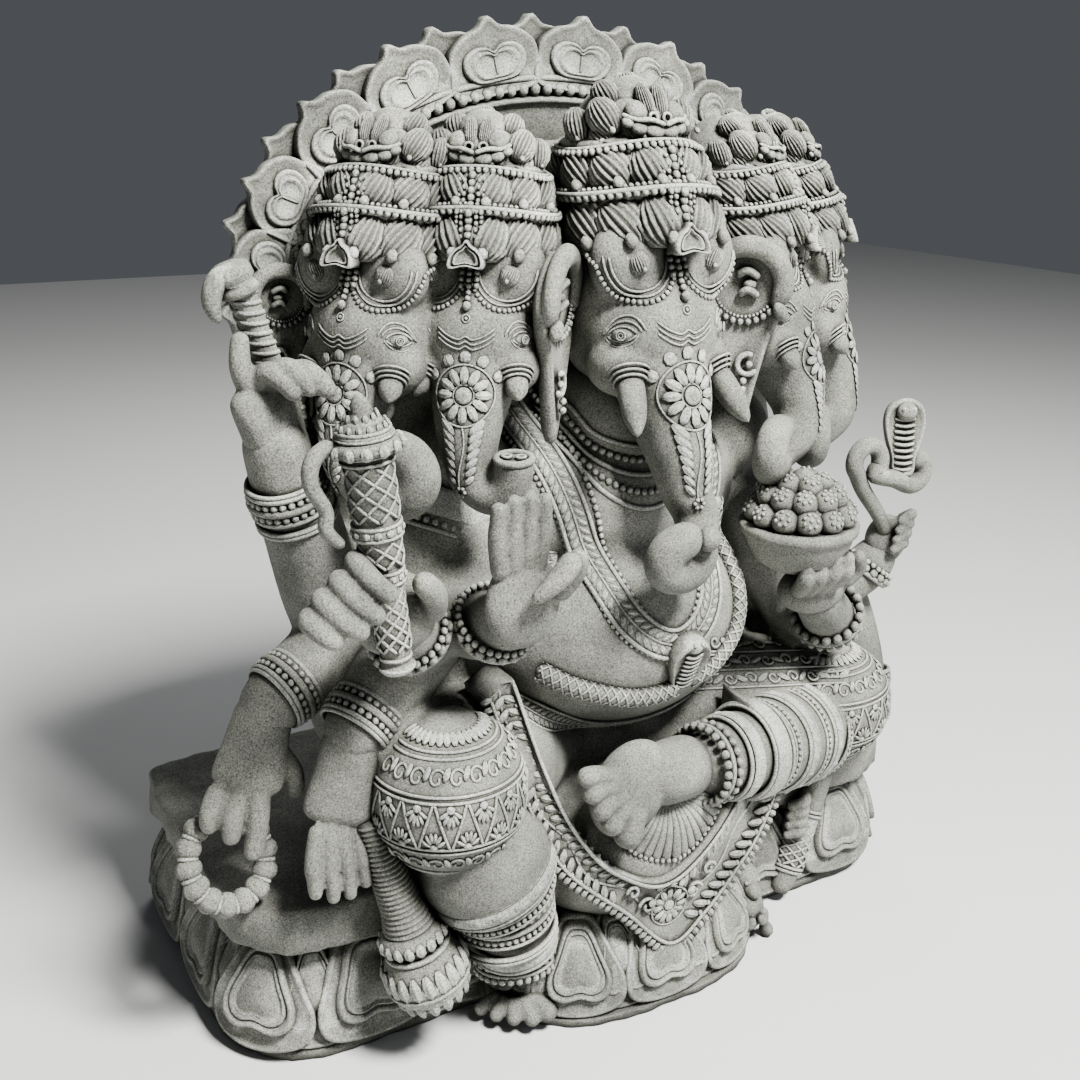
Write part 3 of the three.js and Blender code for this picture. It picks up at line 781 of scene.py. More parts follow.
def trunk_rows(number):
    """Where each head's trunk goes below the face.

    The middle one curls tight, the next is held out open, others coil.
    """
    if number == 2:
        down = [(0, -102, -145, 35, 38), (4, -112, -180, 29, 31), (14, -120, -208, 26, 27)]
        return np.vstack([down, turn_of((-24, -138, -243), (28, 22), 20, -300, -22, (24, 21), 12)])
    if number == 1:
        return np.array([(4, -100, -150, 35, 38), (14, -108, -178, 31, 32), (36, -116, -192, 28, 28),
                         (56, -122, -182, 26, 26), (64, -126, -160, 25, 25), (65, -128, -142, 25, 25)], float)
    if number == 0:
        down = [(10, -100, -146, 36, 37), (32, -106, -180, 32, 32)]
        return np.vstack([down, turn_of((80, -107, -160), (33, 31), -120, 170, -6, (31, 22))])
    centre = (-72, -76, -190) if number == 3 else (-66, -56, -198)
    down = [(-6, -96, -146, 35, 36), (-20, -96, -180, 31, 31)]
    return np.vstack([down, turn_of(centre, (31, 28), -40, -320, -8, (27, 21))])


def face_relief(field):
    """What is carved down the middle of a face.

    A ring mark, three line marks, and a rosette with a leaf spray.
    """
    parts = [wire(field.drop(circle((0, 0, 24), (0, 1, 0), 4.5, 16))[0], 1.4, ref=(0, 1, 0), closed=True),
             beads(field.drop([[0, 0, 24]])[0], 2.6)]
    x = np.linspace(-36, 36, 33)
    for k in range(3):
        z = -8 - 6 * k + 15 * (np.abs(x) / 36) ** 2.2 + 5 * np.exp(-(x / 5) ** 2)
        path, normal = field.drop(flat_points(x, z + 6))
        parts.append(wire(path, 1.5, ref=normal))
    parts += rosette(field, 0, -68, 36)
    parts += spray(field, -104, -182)
    return parts


BALL = skin(ball_rings(20, 12))


def eye_relief(body, s):
    """An almond eye on the side of the face.

    Eyeball and ringed pupil, two lids above, one below, and folds round them.
    """
    field = Field(body, turn=40 * s, cell=2.0)
    middle = field.right * (s * 3) + np.array([0, 0, -3.0])

    def laid(x, z, radius):
        across, above = np.outer(s * np.asarray(x, float), field.right), np.outer(z, (0, 0, 1.0))
        path, normal = field.drop(middle + across + above)
        return wire(path, radius, ref=normal)

    t = np.linspace(-1, 1, 24)
    parts = [laid(17 * t, 9 * (1 - t**2) ** 0.8 - 2 * t, 1.7)]
    parts.append(laid(17 * t, -7 * (1 - t**2) ** 0.8 - 2 * t, 1.5))
    parts.append(laid(21 * t - 1, 15 * (1 - t**2) ** 0.7 - 3.5 * t, 1.6))
    parts.append(laid(25 * t - 2, 21 * (1 - np.abs(t) ** 2.4) - 5 * t, 1.8))
    parts.append(laid(19 * t, -13 * (1 - t**2) ** 0.7 - 3 * t, 1.2))
    eye, normal = field.drop(middle[None])
    parts.append(copies(BALL, eye - normal * 2, upright(normal), np.array([12.0, 6.5, 7.5])))
    frame = upright(normal)[0]
    for radius, size in ((5.0, 1.2), (2.6, 1.0)):
        a = round_about(18)
        ring = eye + normal * 4.6 + radius * spun(a, frame[0], frame[2])
        parts.append(wire(ring, size, ref=frame[1], closed=True))
    return parts


def rosette(field, x, z, radius):
    """A flower in a ring: a small boss, twelve petals, a line round them and leaf lobes above it."""
    a = round_about(12)
    centre, normal = field.drop(flat_points(x + 0.66 * radius * np.cos(a), z + 0.66 * radius * np.sin(a)),
                                0.5)
    middle, front = field.drop([[x, 0, z]], 0)
    parts = [copies(LEAF, centre, upright(normal, centre - middle),
                    np.array([radius * 0.19, 3.6, radius * 0.33]))]
    parts.append(copies(BALL, middle, upright(front), np.array([radius * 0.3, 4.0, radius * 0.3])))
    for share, size in ((0.36, 1.3), (1.02, 1.6)):
        ring, normals = field.drop(circle((x, 0, z), (0, 1, 0), radius * share, 40))
        parts.append(wire(ring, size, ref=normals, closed=True))
    b = np.radians([28, 62, 90, 118, 152])
    lobe, normal = field.drop(flat_points(x + 1.26 * radius * np.cos(b), z + 1.26 * radius * np.sin(b)), 0)
    parts.append(copies(LEAF, lobe, upright(normal, lobe - middle),
                        np.array([radius * 0.24, 3.2, radius * 0.24])))
    return parts


def spray(field, top, bottom):
    """A stem down the trunk with leaves in pairs, closed by a small flower."""
    z = np.linspace(top, bottom, 24)
    stem, normal = field.drop(flat_points(3 * np.sin((top - z) / 14), z))
    parts = [wire(stem, 1.6, ref=normal)]
    rows = np.linspace(top - 2, bottom + 12, 7)
    width = np.linspace(18, 11, 7)
    for s in (-1, 1):
        leaf, normal = field.drop(flat_points(s * width, rows), 0)
        lean = np.stack([s * np.full(7, 0.75), np.zeros(7), np.full(7, 0.7)], -1)
        parts.append(copies(LEAF, leaf, upright(normal, lean),
                            np.stack([width * 0.38, np.full(7, 3.2), width * 0.8], -1)))
    end, _ = field.drop(flat_points(5 * np.cos(np.arange(6) * TAU / 6),
                                    bottom - 4 + 5 * np.sin(np.arange(6) * TAU / 6)))
    parts.append(beads(end, 3.0))
    return parts


def forehead_relief(field):
    """On each brow dome a double line with a bead string under it and a comb-lined curl; a bead
    pendant between them.
    """
    parts = []
    low = np.radians(np.linspace(180, 360, 30))
    for s in (-1, 1):
        for radius in (36, 41):
            path, normal = field.drop(flat_points(s * 47 + radius * np.cos(low), 82 + radius * 1.08
                                                  * np.sin(low)))
            parts.append(wire(path, 1.8, ref=normal))
        path, _ = field.drop(flat_points(s * 47 + 46.5 * np.cos(low), 82 + 50 * np.sin(low)), 0.5)
        parts.append(bead_row(path, 6.6, 3.3))
        leaf, normal = field.drop([[s * 50, 0, 74]], -2)
        parts.append(copies(LOBE, leaf, upright(normal, (s * 0.5, 0, 1)), np.array([13.0, 9, 14])))
        parts.append(beads(leaf + normal * 7 + [[-s * 3, 0, -6]], 3.4))
    for x, bottom in ((-9, 56), (0, 42), (9, 56)):
        path, _ = field.drop(flat_points(np.full(30, x), np.linspace(100, bottom, 30)), 3)
        parts.append(bead_row(path, 7.6, 4.0))
    end, _ = field.drop([[0, 0, 37]], 3)
    parts.append(beads(end, 6.0))
    return parts


EAR = outline_of([(-44, 40), (-30, 66), (0, 80), (30, 68), (48, 34), (46, 2), (32, -34), (20, -84), (8, -130),
                  (-12, -96), (-34, -50), (-50, 0)], 60)


def ear_parts():
    """An ear seen from the front: a round dished disc in a thick rolled rim, beads under it, and a
    lobe drawn to a point.

    The rim is a flattened roll along an arc of a circle; its outer end turns over like a leaf tip.
    """
    middle = np.array([0.0, 10.0])
    parts = [skin(dish(EAR, middle, [(0.05, -12), (0.9, -14), (1.0, -9), (1.02, -2), (0.98, 3), (0.9, 4),
                                     (0.8, 1), (0.05, 0)]))]
    a = np.radians(np.linspace(-38, 205, 60))
    rim = np.stack([44 * np.cos(a), -6 - 3 * np.sin(a), 32 + 44 * np.sin(a)], -1)
    size = np.interp(np.arange(60), [0, 6, 30, 59], [7, 12, 13, 8])
    parts.append(skin(carried(rim, rounded(rim, size), rounded(rim, size * 0.8), (0, 1, 0), 16)))
    parts.append(ball((42, -12, 2), (8, 8, 12), 14, 9, (0, -30, 0)))
    low = np.radians(np.linspace(196, 322, 40))
    for radius, bead in ((42, 4.2), (36, 2.2)):
        row = np.stack([radius * np.cos(low), np.full(40, -5.0), 30 + radius * np.sin(low)], -1)
        parts.append(bead_row(row, bead * 2.1, bead))
    for x, z, w in ((4, 44, 15), (6, 22, 13)):
        chevron = spline(np.array([(x - w, -3, z - 3), (x - 3, -9, z + 4), (x + w * 0.8, -4, z - 4)], float),
                         14)
        parts.append(wire(chevron, 4.5, ref=(0, 1, 0), around=8))
    parts.append(ball((5, -3, 32), (8, 6, 7), 14, 9))
    hang = np.radians(np.linspace(60, 330, 26))
    parts.append(wire(np.stack([8 + 12 * np.cos(hang), np.full(26, -7.0), -62 + 12 * np.sin(hang)], -1), 3.6,
                      ref=(0, 1, 0), around=8))
    parts.append(beads([[10, -8, -62], [4, -9, -82], [4, -9, -92]], 4.5))
    return parts


def tusk_parts(side, share):
    """A drop-shaped tusk, share of full length, with two raised lines round the outer side of its socket."""
    a = np.array([side * 56, -76, -46.0])
    b = a + share * np.array([side * 20, -50, -58.0])
    rows = [[*a, 13], [*(a + (b - a) * 0.3), 15.5], [*(a + (b - a) * 0.7), 13], [*b, 3.5]]
    line = spline(np.array(rows), 20)
    parts = [skin(carried(line[:, :3], rounded(line[:, :3], line[:, 3]), rounded(line[:, :3], line[:, 3]),
                          (1, 0, 0), 20))]
    way = unit(b - a)
    parts.append(ball(a - way * 6, (21, 21, 19), 22, 14))
    for shift, radius in ((12, 18.5), (7, 21.5), (2, 24.5)):
        parts.append(wire(circle(a + way * shift, way, radius, 32, ref=(1, 0, 0)), 1.7, ref=way, closed=True))
    return parts


def mirrored(parts):
    """Parts flipped left to right, with their corners turned back round."""
    return [(p * [-1, 1, 1], q[:, ::-1], t[:, ::-1]) for p, q, t in parts]


def head_mass(number):
    """The plain form of a head.

    Skull, brow domes, cheeks, and the trunk with its curl; and the trunk's centre line.
    """
    line = spline(np.vstack([TRUNK_ROOT, trunk_rows(number)]), 110)
    end = np.ones(110)
    if number != 1:
        end[-5:] = np.sqrt(1 - np.linspace(0.1, 0.97, 5) ** 2)
    mass = [skin(carried(line[:, :3], line[:, 3] * end, line[:, 4] * end, (0, 1, 0.1), 36))]
    mass += [ball((0, 4, 16), (92, 94, 106), 44, 28), ball((0, -26, -6), (84, 80, 84), 40, 24)]
    mass += [ball((s * 46, -50, 74), (48, 30, 50), 30, 18) for s in (-1, 1)]
    mass += [ball((s * 46, -48, -40), (42, 46, 38), 28, 16) for s in (-1, 1)]
    return mass, line


def head_relief(number):
    """All that is carved on a head: brow, eyes, line marks, trunk, tusks, and the ears that show."""
    mass, line = head_mass(number)
    field = Field(mass, cell=2.5)
    parts = face_relief(field) + forehead_relief(field) + eye_relief(mass, -1) + eye_relief(mass, 1)
    for s in (-1, 1):
        parts += tusk_parts(s, 1.0 if number == 2 else 0.5)
    if number == 1:
        tip, way = line[-1, :3], line[-1, :3] - line[-4, :3]
        parts.append(wire(circle(tip, way, 22, 30, ref=(0, 1, 0)), 5.0, ref=unit(way), closed=True, around=8))
        for s in (-1, 1):
            hole = circle(tip + unit(way) * 3 + [s * 9, 0, 0], way, 5.5, 18, ref=(0, 1, 0))
            parts.append(wire(hole, 2.4, ref=unit(way), closed=True))
    if number == 2:
        parts.append(ball(line[-1, :3] + [6, -8, 4], (14, 13, 14), 18, 12))
    for s in {2: (-1, 1), 0: (-1,), 4: (1,)}.get(number, ()):
        size, x, y = (1.0, 128, -40) if number == 2 else (0.8, 126, -50)
        one = [(p * [size, 1, size], q, t) for p, q, t in ear_parts()]
        one = one if s > 0 else mirrored(one)
        parts += moved(one, turning(z=(-34 if s > 0 else 42)), np.array([s * x, y, 6.0]))
    return parts


# Each head's X, Y, turn in degrees and size, from the wearer's far right.
HEADS = [(-279, -187, -56, 0.86), (-183, -231, -38, 0.86), (0, -265, 0, 1.0), (183, -231, 38, 0.86),
         (279, -187, 56, 0.86)]
HEAD_NAMES = ("far_right", "right", "middle", "left", "far_left")
HEAD_HEIGHT = 862.0


def at_head(parts, number):
    """Parts of one head moved to their place in the row of five."""
    x, y, turn, size = HEADS[number]
    return moved(parts, turning(z=turn) * size, np.array([x, y, HEAD_HEIGHT]))


# ---- body ----

def torso():
    """Belly, chest, neck, shoulders, hips and the stone left behind them."""
    return [
        ball((0, -207, 486), (196, 172, 146), 48, 30),
        ball((0, -185, 640), (200, 130, 120), 48, 30),
        ball((0, -214, 750), (92, 110, 80), 36, 22),
        ball((-196, -185, 690), (66, 68, 64)),
        ball((196, -185, 690), (66, 68, 64)),
        ball((0, -110, 290), (310, 160, 110), 48, 30),
        ball((0, -90, 905), (330, 95, 150), 40, 24, (4, 0, 0)),
        ball((0, -80, 640), (360, 118, 240), 48, 30, (5, 0, 0)),
        ball((0, -75, 380), (350, 170, 240), 48, 30, (5, 0, 0)),
    ]


RIGHT_KNEE = dict(centre=(-276, -326, 350), size=(92, 90, 96))
LEFT_KNEE = dict(centre=(356, -252, 286), size=(106, 94, 90))


def legs():
    """The wearer's right shin hangs to a foot on the base; the left leg is folded across the lap."""
    return [
        limb([(-70, -120, 300), (-180, -240, 330), (-272, -322, 350)], [100, 96, 88], around=36),
        ball(RIGHT_KNEE["centre"], RIGHT_KNEE["size"], 48, 30),
        limb([(-266, -326, 320), (-226, -332, 235), (-196, -330, 170), (-182, -318, 70)], [88, 80, 56, 42],
             around=36),
        limb([(70, -130, 290), (210, -205, 296), (352, -250, 286)], [100, 100, 94], around=36),
        ball(LEFT_KNEE["centre"], LEFT_KNEE["size"], 48, 30),
        limb([(340, -262, 262), (220, -318, 284), (120, -350, 304), (40, -362, 312)], [76, 66, 50, 40],
             around=30),
    ]


def foot(heel, ball_of, radii, tips, toe_radii):
    """A foot from the ankle to the ball of the foot, and a jointed toe out to each tip, big toe first."""
    heel, ball_of = np.asarray(heel, float), np.asarray(ball_of, float)
    parts = [limb([heel, (heel + ball_of) / 2 + [0, 0, 2], ball_of], radii, around=24)]
    for tip, r in zip(np.asarray(tips, float), toe_radii):
        root = ball_of + (tip - ball_of) * 0.3
        joint = ball_of + (tip - ball_of) * 0.72 + [0, 0, r * 0.5]
        parts.append(limb([root, joint, tip], [r * 1.15, r * 0.92, r], step=2.2, around=14))
    return parts


def feet():
    """The hanging foot on the base and the folded one, its sole turned out."""
    tips = [(-158, -378, 18), (-182, -376, 17), (-204, -362, 16), (-222, -342, 15), (-234, -318, 15)]
    down = foot((-180, -290, 58), (-184, -322, 38), (38, 36, 30), tips, (14, 11, 10.5, 10, 9.5))
    tips = [(-76, -402, 252), (-104, -404, 280), (-122, -404, 308), (-134, -400, 335), (-140, -396, 360)]
    folded = foot((74, -350, 306), (-40, -374, 318), (40, 40, 36), tips, (20, 15.5, 14.5, 14, 13))
    folded.append(ball((-54, -374, 314), (54, 28, 64), 28, 18, (0, 24, 0)))
    return down + folded


def fingers(points, radius, wide, lengths=(0.86, 1.0, 1.02, 0.9), spread=1.0):
    """Four fingers side by side along wide, each a jointed limb through the three points, their tips a
    little apart.
    """
    base, knuckle, tip = (np.asarray(p, float) for p in points)
    half = np.asarray(wide, float) * radius
    parts = []
    for k, share in enumerate(lengths):
        shift = half * (k - 1.5) / 2
        end = knuckle + (tip - knuckle) * share + shift * spread
        mid = knuckle + shift * (1 + (spread - 1) * 0.4)
        r = float(np.linalg.norm(half)) / 4
        line = [base + shift * 0.8, mid, (mid + end) / 2, end]
        parts.append(limb(line, [r * 1.1, r * 1.12, r, r * 0.84], ref=(0.2, 0.3, 1) if abs(half[2]) < 10
                          else (0, 1, 0.1), step=2.5, around=12))
    return parts


def palm(wrist, knuckles, normal, widths=(31, 37, 41, 40), depths=(30, 25, 20, 15)):
    """A palm from the wrist to the knuckles: a flattened squarish form, broadest past its middle."""
    a, b = np.asarray(wrist, float), np.asarray(knuckles, float)
    rows = np.column_stack([a + (b - a) * np.array([[0], [0.35], [0.7], [1.0]]), widths, depths])
    rows[0, :3] -= (b - a) * 0.35
    line = spline(rows, 20)
    end = rounded(line[:, :3], line[:, 4]) / line[:, 4]
    return [skin(carried(line[:, :3], line[:, 3] * end, line[:, 4] * end, normal, 24, power=2.4))]


def thumb(*points, radii=(13, 12, 9)):
    """A thumb through the points."""
    return [limb(points, radii, ref=(0.3, 1, 0.2), step=2.5, around=14)]


def arm(points, radii, hand, size, turn=(0, 0, 0)):
    """An arm from the shoulder to the wrist, going on into the palm."""
    return [limb([*points, hand], [*radii, radii[-1] * 0.8], around=28), ball(hand, size, 24, 16, turn)]


def sorted_limbs(parts):
    """Arms apart from hands: an arm is drawn with 28 points round and everything finer belongs to a hand."""
    arms = [part for part in parts if length_of(part[0][:-2:28]) > 250 and (len(part[0]) - 2) % 28 == 0]
    known = {id(part) for part in arms}
    return arms, [part for part in parts if id(part) not in known]


def curled(knuckles, reach, radius):
    """Fingers folded over something: from each knuckle out along reach and back in under it."""
    parts = []
    for x, y, z in knuckles:
        root = np.array([x - 8, y + 18, z - 18.0])
        top = np.array([x, y - 6, z + 4.0])
        tip = top + np.asarray(reach, float)
        line = [root, top, (top + tip) / 2 + [0, -4, 5], tip]
        radii = [radius, radius, radius * 0.95, radius * 0.8]
        parts.append(limb(line, radii, ref=(0.2, 1, 0.3), step=2.5, around=14))
    return parts


def fist():
    """Four thick fingers closed round the shaft of the club, stepping outwards and down."""
    knuckles = np.array([(-402, -386, 668), (-420, -386, 650), (-438, -386, 634), (-450, -384, 616)], float)
    tips = np.array([(-376, -424, 636), (-390, -424, 616), (-406, -422, 602), (-430, -414, 594)], float)
    parts = []
    for k in range(4):
        base = knuckles[k] + [44 + 8 * k, 34, -40 + 4 * k]
        bend = (knuckles[k] + tips[k]) / 2 + [-7, -9, 2]
        parts.append(limb([base, knuckles[k], bend, tips[k]], [12, 12.2, 11.6, 9.5], ref=(0.2, 0.3, 1),
                          step=2.5, around=14))
    return parts


def right_arms():
    """Goad; club; raised palm; hanging with the bead ring; on the mace."""
    return [
        *arm([(-190, -150, 660), (-330, -160, 560), (-352, -170, 545), (-400, -195, 690)], [60, 56, 52, 42],
             (-428, -210, 780), (26, 24, 30)),
        *palm((-414, -203, 742), (-436, -212, 822), (0.4, -1, 0)),
        *thumb((-444, -214, 806), (-455, -218, 836), (-453, -216, 872), radii=(13, 12, 9)),
        *curled([(-432, -226, 826), (-416, -232, 830), (-400, -238, 828)], (26, -22, -26), 12),
        *arm([(-200, -200, 690), (-243, -215, 560), (-256, -237, 530), (-310, -318, 545)], [62, 58, 54, 38],
             (-348, -352, 590), (48, 32, 46)),
        *fist(),
        *thumb((-312, -362, 586), (-322, -392, 620), (-344, -404, 646), radii=(17, 15, 12)),
        *arm([(-170, -215, 640), (-226, -240, 560), (-234, -262, 540), (-229, -350, 552)], [60, 52, 48, 38],
             (-222, -402, 598), (45, 20, 54)),
        *fingers([(-230, -406, 630), (-232, -412, 674), (-233, -418, 724)], 12, (3.0, 0, 0),
                 (0.86, 0.98, 1.02, 0.92)),
        *thumb((-190, -408, 600), (-176, -430, 634), (-180, -444, 660), radii=(16, 13, 10)),
        *arm([(-180, -130, 600), (-308, -150, 510), (-330, -170, 490), (-425, -198, 450)], [60, 56, 54, 40],
             (-462, -208, 412), (26, 24, 30)),
        *palm((-450, -205, 428), (-484, -226, 348), (-0.3, -1, 0.3)),
        limb([(-466, -224, 360), (-474, -240, 322), (-484, -246, 274)], [15, 14, 11], step=2.5, around=16),
        limb([(-488, -224, 360), (-502, -240, 330), (-506, -240, 298)], [14, 13, 10], step=2.5, around=16),
        limb([(-506, -220, 366), (-524, -230, 340), (-526, -226, 312)], [13, 12, 10], step=2.5, around=16),
        *thumb((-448, -210, 396), (-426, -222, 362), (-422, -224, 328), radii=(17, 14, 11)),
        *arm([(-180, -170, 600), (-258, -220, 520), (-276, -240, 498), (-362, -280, 432)], [60, 56, 54, 40],
             (-384, -290, 396), (26, 24, 30)),
        *palm((-376, -287, 412), (-404, -306, 326), (-0.3, -1, 0.3)),
        *fingers([(-404, -306, 336), (-410, -320, 298), (-406, -322, 240)], 12, (3.0, 0, 0),
                 (0.8, 1, 1.02, 0.86), 1.12),
        *thumb((-372, -296, 380), (-350, -316, 348), (-346, -324, 310), radii=(16, 14, 11)),
    ]


def left_arms():
    """Cobra; bowl of sweets; hanging by the knee; on the scabbard; resting behind."""
    return [
        *arm([(190, -150, 640), (370, -150, 440), (400, -160, 420), (476, -192, 446)], [60, 54, 50, 36],
             (508, -202, 492), (34, 26, 38)),
        *fingers([(520, -210, 506), (512, -240, 520), (488, -238, 508)], 11, (0.6, 0, 2.6), (1, 1, 1, 1)),
        *arm([(190, -190, 640), (320, -200, 460), (330, -225, 430), (312, -300, 440)], [60, 56, 54, 38],
             (240, -342, 510), (50, 34, 32)),
        *fingers([(222, -364, 518), (214, -392, 546), (212, -398, 580)], 11.5, (3.3, -0.5, 0.2),
                 (0.84, 1, 1.04, 0.9)),
        *thumb((268, -360, 516), (286, -372, 540), (272, -384, 566)),
        *arm([(190, -140, 620), (420, -130, 420), (470, -150, 380), (506, -186, 270)], [60, 54, 50, 34],
             (502, -194, 204), (28, 30, 44)),
        *fingers([(504, -194, 178), (500, -198, 146), (490, -198, 112)], 10, (0.4, 2.6, 0),
                 (0.9, 1, 1, 0.86)),
        *arm([(180, -120, 560), (400, -110, 330), (410, -130, 280), (364, -238, 184)], [56, 50, 44, 32],
             (326, -258, 142), (34, 28, 30)),
        *fingers([(322, -272, 142), (296, -306, 140), (274, -294, 130)], 11, (0.2, 0, 2.8), (1, 1, 1, 1)),
        *arm([(180, -90, 600), (380, -40, 440), (420, -30, 400), (448, -36, 280)], [56, 50, 46, 34],
             (456, -66, 228), (36, 50, 22)),
    ]


# ---- jewellery ----

def arm_rings():
    """Bracelets on the wrists, strings on the elbows and an armlet, one set for each arm that is seen."""
    wrist = [(-15, "ring", 3.5), (-8, "beads", 4.6), (0, "ring", 5), (8, "beads", 4.6), (15, "ring", 3.5),
             (20, "ring", 2.5)]
    frill = [(-6, "ring", 4), (0, "beads", 6.5), (9, "beads", 4.5)]
    parts = []
    parts += bangle((-404, -198, 688), (-30, -18, 106), 41, wrist)
    parts += bangle((-394, -192, 666), (-48, -25, 145), 44, [(-8, "ring", 3), (-3, "ring", 3)])
    parts += bangle((-318, -320, 552), (-42, -32, 47), 44, frill)
    parts += bangle((-230, -352, 556), (4, -50, 60), 43, frill)
    parts += bangle((-416, -196, 455), (-95, -28, -40), 40, wrist)
    parts += bangle((-356, -276, 438), (-86, -40, -66), 41, wrist)
    parts += bangle((480, -194, 450), (32, -10, 46), 37, frill)
    parts += bangle((308, -304, 446), (-46, -30, 60), 42, [(-12, "beads", 6), (0, "ring", 6),
                                                           (10, "beads", 7)])
    parts += bangle((508, -187, 262), (-6, -12, -80), 36, wrist)
    parts += bangle((362, -240, 182), (-38, -20, -40), 34, wrist)
    band = [(-26, "ring", 4), (-14, "leaves", 16), (0, "ring", 4), (10, "beads", 5), (18, "ring", 3)]
    parts += bangle((-222, -202, 632), (-46, -20, -90), 58, band)
    parts += bangle((262, -188, 560), (90, -10, -110), 60, band)
    parts += bangle((-346, -168, 556), (-30, -8, 20), 54, [(0, "ring", 3), (8, "ring", 3)])
    parts += bangle((-250, -232, 536), (-40, -50, 10), 56, [(0, "ring", 3), (8, "ring", 3)])
    return parts


def necklaces(field):
    """From the throat down.

    Ridged neck lines, bead strings, the broad leafy chain, its inner string and the waist band.
    """
    parts = []
    for k, drop in enumerate((0, 17, 34, 52, 70)):
        line = [(-86 - k * 5, 0, 772 - drop * 0.5), (-62, 0, 735 - drop * 0.9), (0, 0, 722 - drop * 1.1),
                (62, 0, 735 - drop * 0.9), (86 + k * 5, 0, 772 - drop * 0.5)]
        if k % 2:
            parts.append(laid_beads(field, line, 9.5, 4.6))
        else:
            parts.append(laid_line(field, line, 3.4, 60))
    chain = [(-128, 0, 770), (-110, 0, 690), (-86, 0, 610), (-64, 0, 540), (-36, 0, 508), (0, 0, 492),
             (36, 0, 508), (64, 0, 540), (86, 0, 610), (110, 0, 690), (128, 0, 770)]
    parts += laid_band(field, chain, 36, 4.0, count=130)
    inner = [(x * 0.76, y, z + 14 + abs(x) * 0.03) for x, y, z in chain]
    parts.append(laid_beads(field, inner, 9.0, 4.3))
    outer = [(x * 1.2 if abs(x) > 1 else 0, y, z - 16 if abs(x) < 70 else z) for x, y, z in chain]
    parts.append(laid_beads(field, outer, 8.0, 3.8))
    tongue = [(-12, 0, 478), (0, 0, 462), (12, 0, 478)]
    parts.append(laid_line(field, tongue, 4, 20))
    waist = [(-170, 0, 420), (-120, 0, 388), (-60, 0, 370), (0, 0, 364), (60, 0, 370), (120, 0, 388),
             (170, 0, 420)]
    parts += laid_band(field, waist, 26, 3.5, count=70)
    for s in (-1, 1):
        chest = [(s * 190, 0, 604), (s * 165, 0, 592), (s * 140, 0, 584), (s * 112, 0, 586)]
        parts += laid_band(field, chest, 26, 3.5)
    return parts


def scaled(path, normal, across, through, turns):
    """A snake's scales: two sets of thin lines wound opposite ways round it, crossing in diamonds."""
    fine = spline(np.column_stack([path, normal]), 260)
    way = unit(np.gradient(fine[:, :3], axis=0))
    up = fine[:, 3:]
    side = unit(np.cross(way, up))
    parts = []
    for k in range(4):
        for s in (-1, 1):
            a = s * np.linspace(0, turns * TAU / 4, 260) + k * TAU / 4
            line = fine[:, :3] + (across * np.cos(a))[:, None] * side + (through * np.sin(a))[:, None] * up
            parts.append(wire(line[4:-4], 1.7, ref=up[4:-4], around=4))
    return parts


def belly_snake(field):
    """The snake worn as a sacred cord.

    Scaly body from the right ribs over the belly, hood in front, up to the left ribs.
    """
    line = [(-152, 0, 470), (-120, 0, 452), (-80, 0, 438), (-46, 0, 430), (-14, 0, 430), (10, 0, 436)]
    parts = []
    path, normal = field.drop(spline(line, 70), 3)
    path, normal = eased(path, 6), unit(eased(normal, 12))
    parts.append(skin(carried(path, rounded(path, np.full(70, 12.0)), rounded(path, np.full(70, 10.0)),
                              normal, 14)))
    parts += scaled(path, normal, 12.0, 10.0, 16)
    left = [(26, 0, 438), (70, 0, 452), (112, 0, 490), (124, 0, 540), (116, 0, 590), (108, 0, 640)]
    path, normal = field.drop(spline(left, 80), 2)
    path, normal = eased(path, 6), unit(eased(normal, 12))
    parts.append(skin(carried(path, rounded(path, np.full(80, 12.0)), rounded(path, np.full(80, 9.0)),
                              normal, 12)))
    parts += scaled(path, normal, 12.0, 9.0, 20)
    hood = outline_of([(-20, 34), (-27, 16), (-22, -6), (-12, -34), (0, -40), (12, -34), (22, -6), (27, 16),
                       (20, 34), (8, 42), (-8, 42)], 44)
    middle, normal = field.drop([[14, 0, 466]], 2)
    rings = dish(hood, np.array([0.0, 4.0]), [(0.05, -14), (1, -14), (1, 6), (0.96, 10), (0.88, 11),
                                              (0.8, 8), (0.5, 7), (0.05, 7)])
    parts.append((skin(rings)[0] @ turning(x=-24) + middle[0], *skin(rings)[1:]))
    ribs = [[(-13, -10, z), (0, -12, z - 3), (13, -10, z)] for z in range(-24, 30, 7)]
    for rib in ribs:
        parts.append(wire(spline(np.array(rib, float), 10) @ turning(x=-24) + middle[0], 2.0))
    parts.append(ball(middle[0] + [0, -16, 30], (11, 12, 10), 16, 10))
    parts.append(beads(middle[0] + np.array([[-5, -26, 34], [5, -26, 34]]), 2.6))
    return parts


# ---- cloth ----

def on_ball(knee, longitude, latitude, lift=0.0):
    """A place on a knee: degrees round from the front and degrees up, and the normal there."""
    size = np.array(knee["size"], float)
    a, b = np.radians(longitude), np.radians(latitude)
    way = np.stack([np.cos(b) * np.sin(a), -np.cos(b) * np.cos(a), np.sin(b) + 0 * a], -1)
    normal = unit(way / size)
    return np.array(knee["centre"], float) + way * size + normal * lift, normal


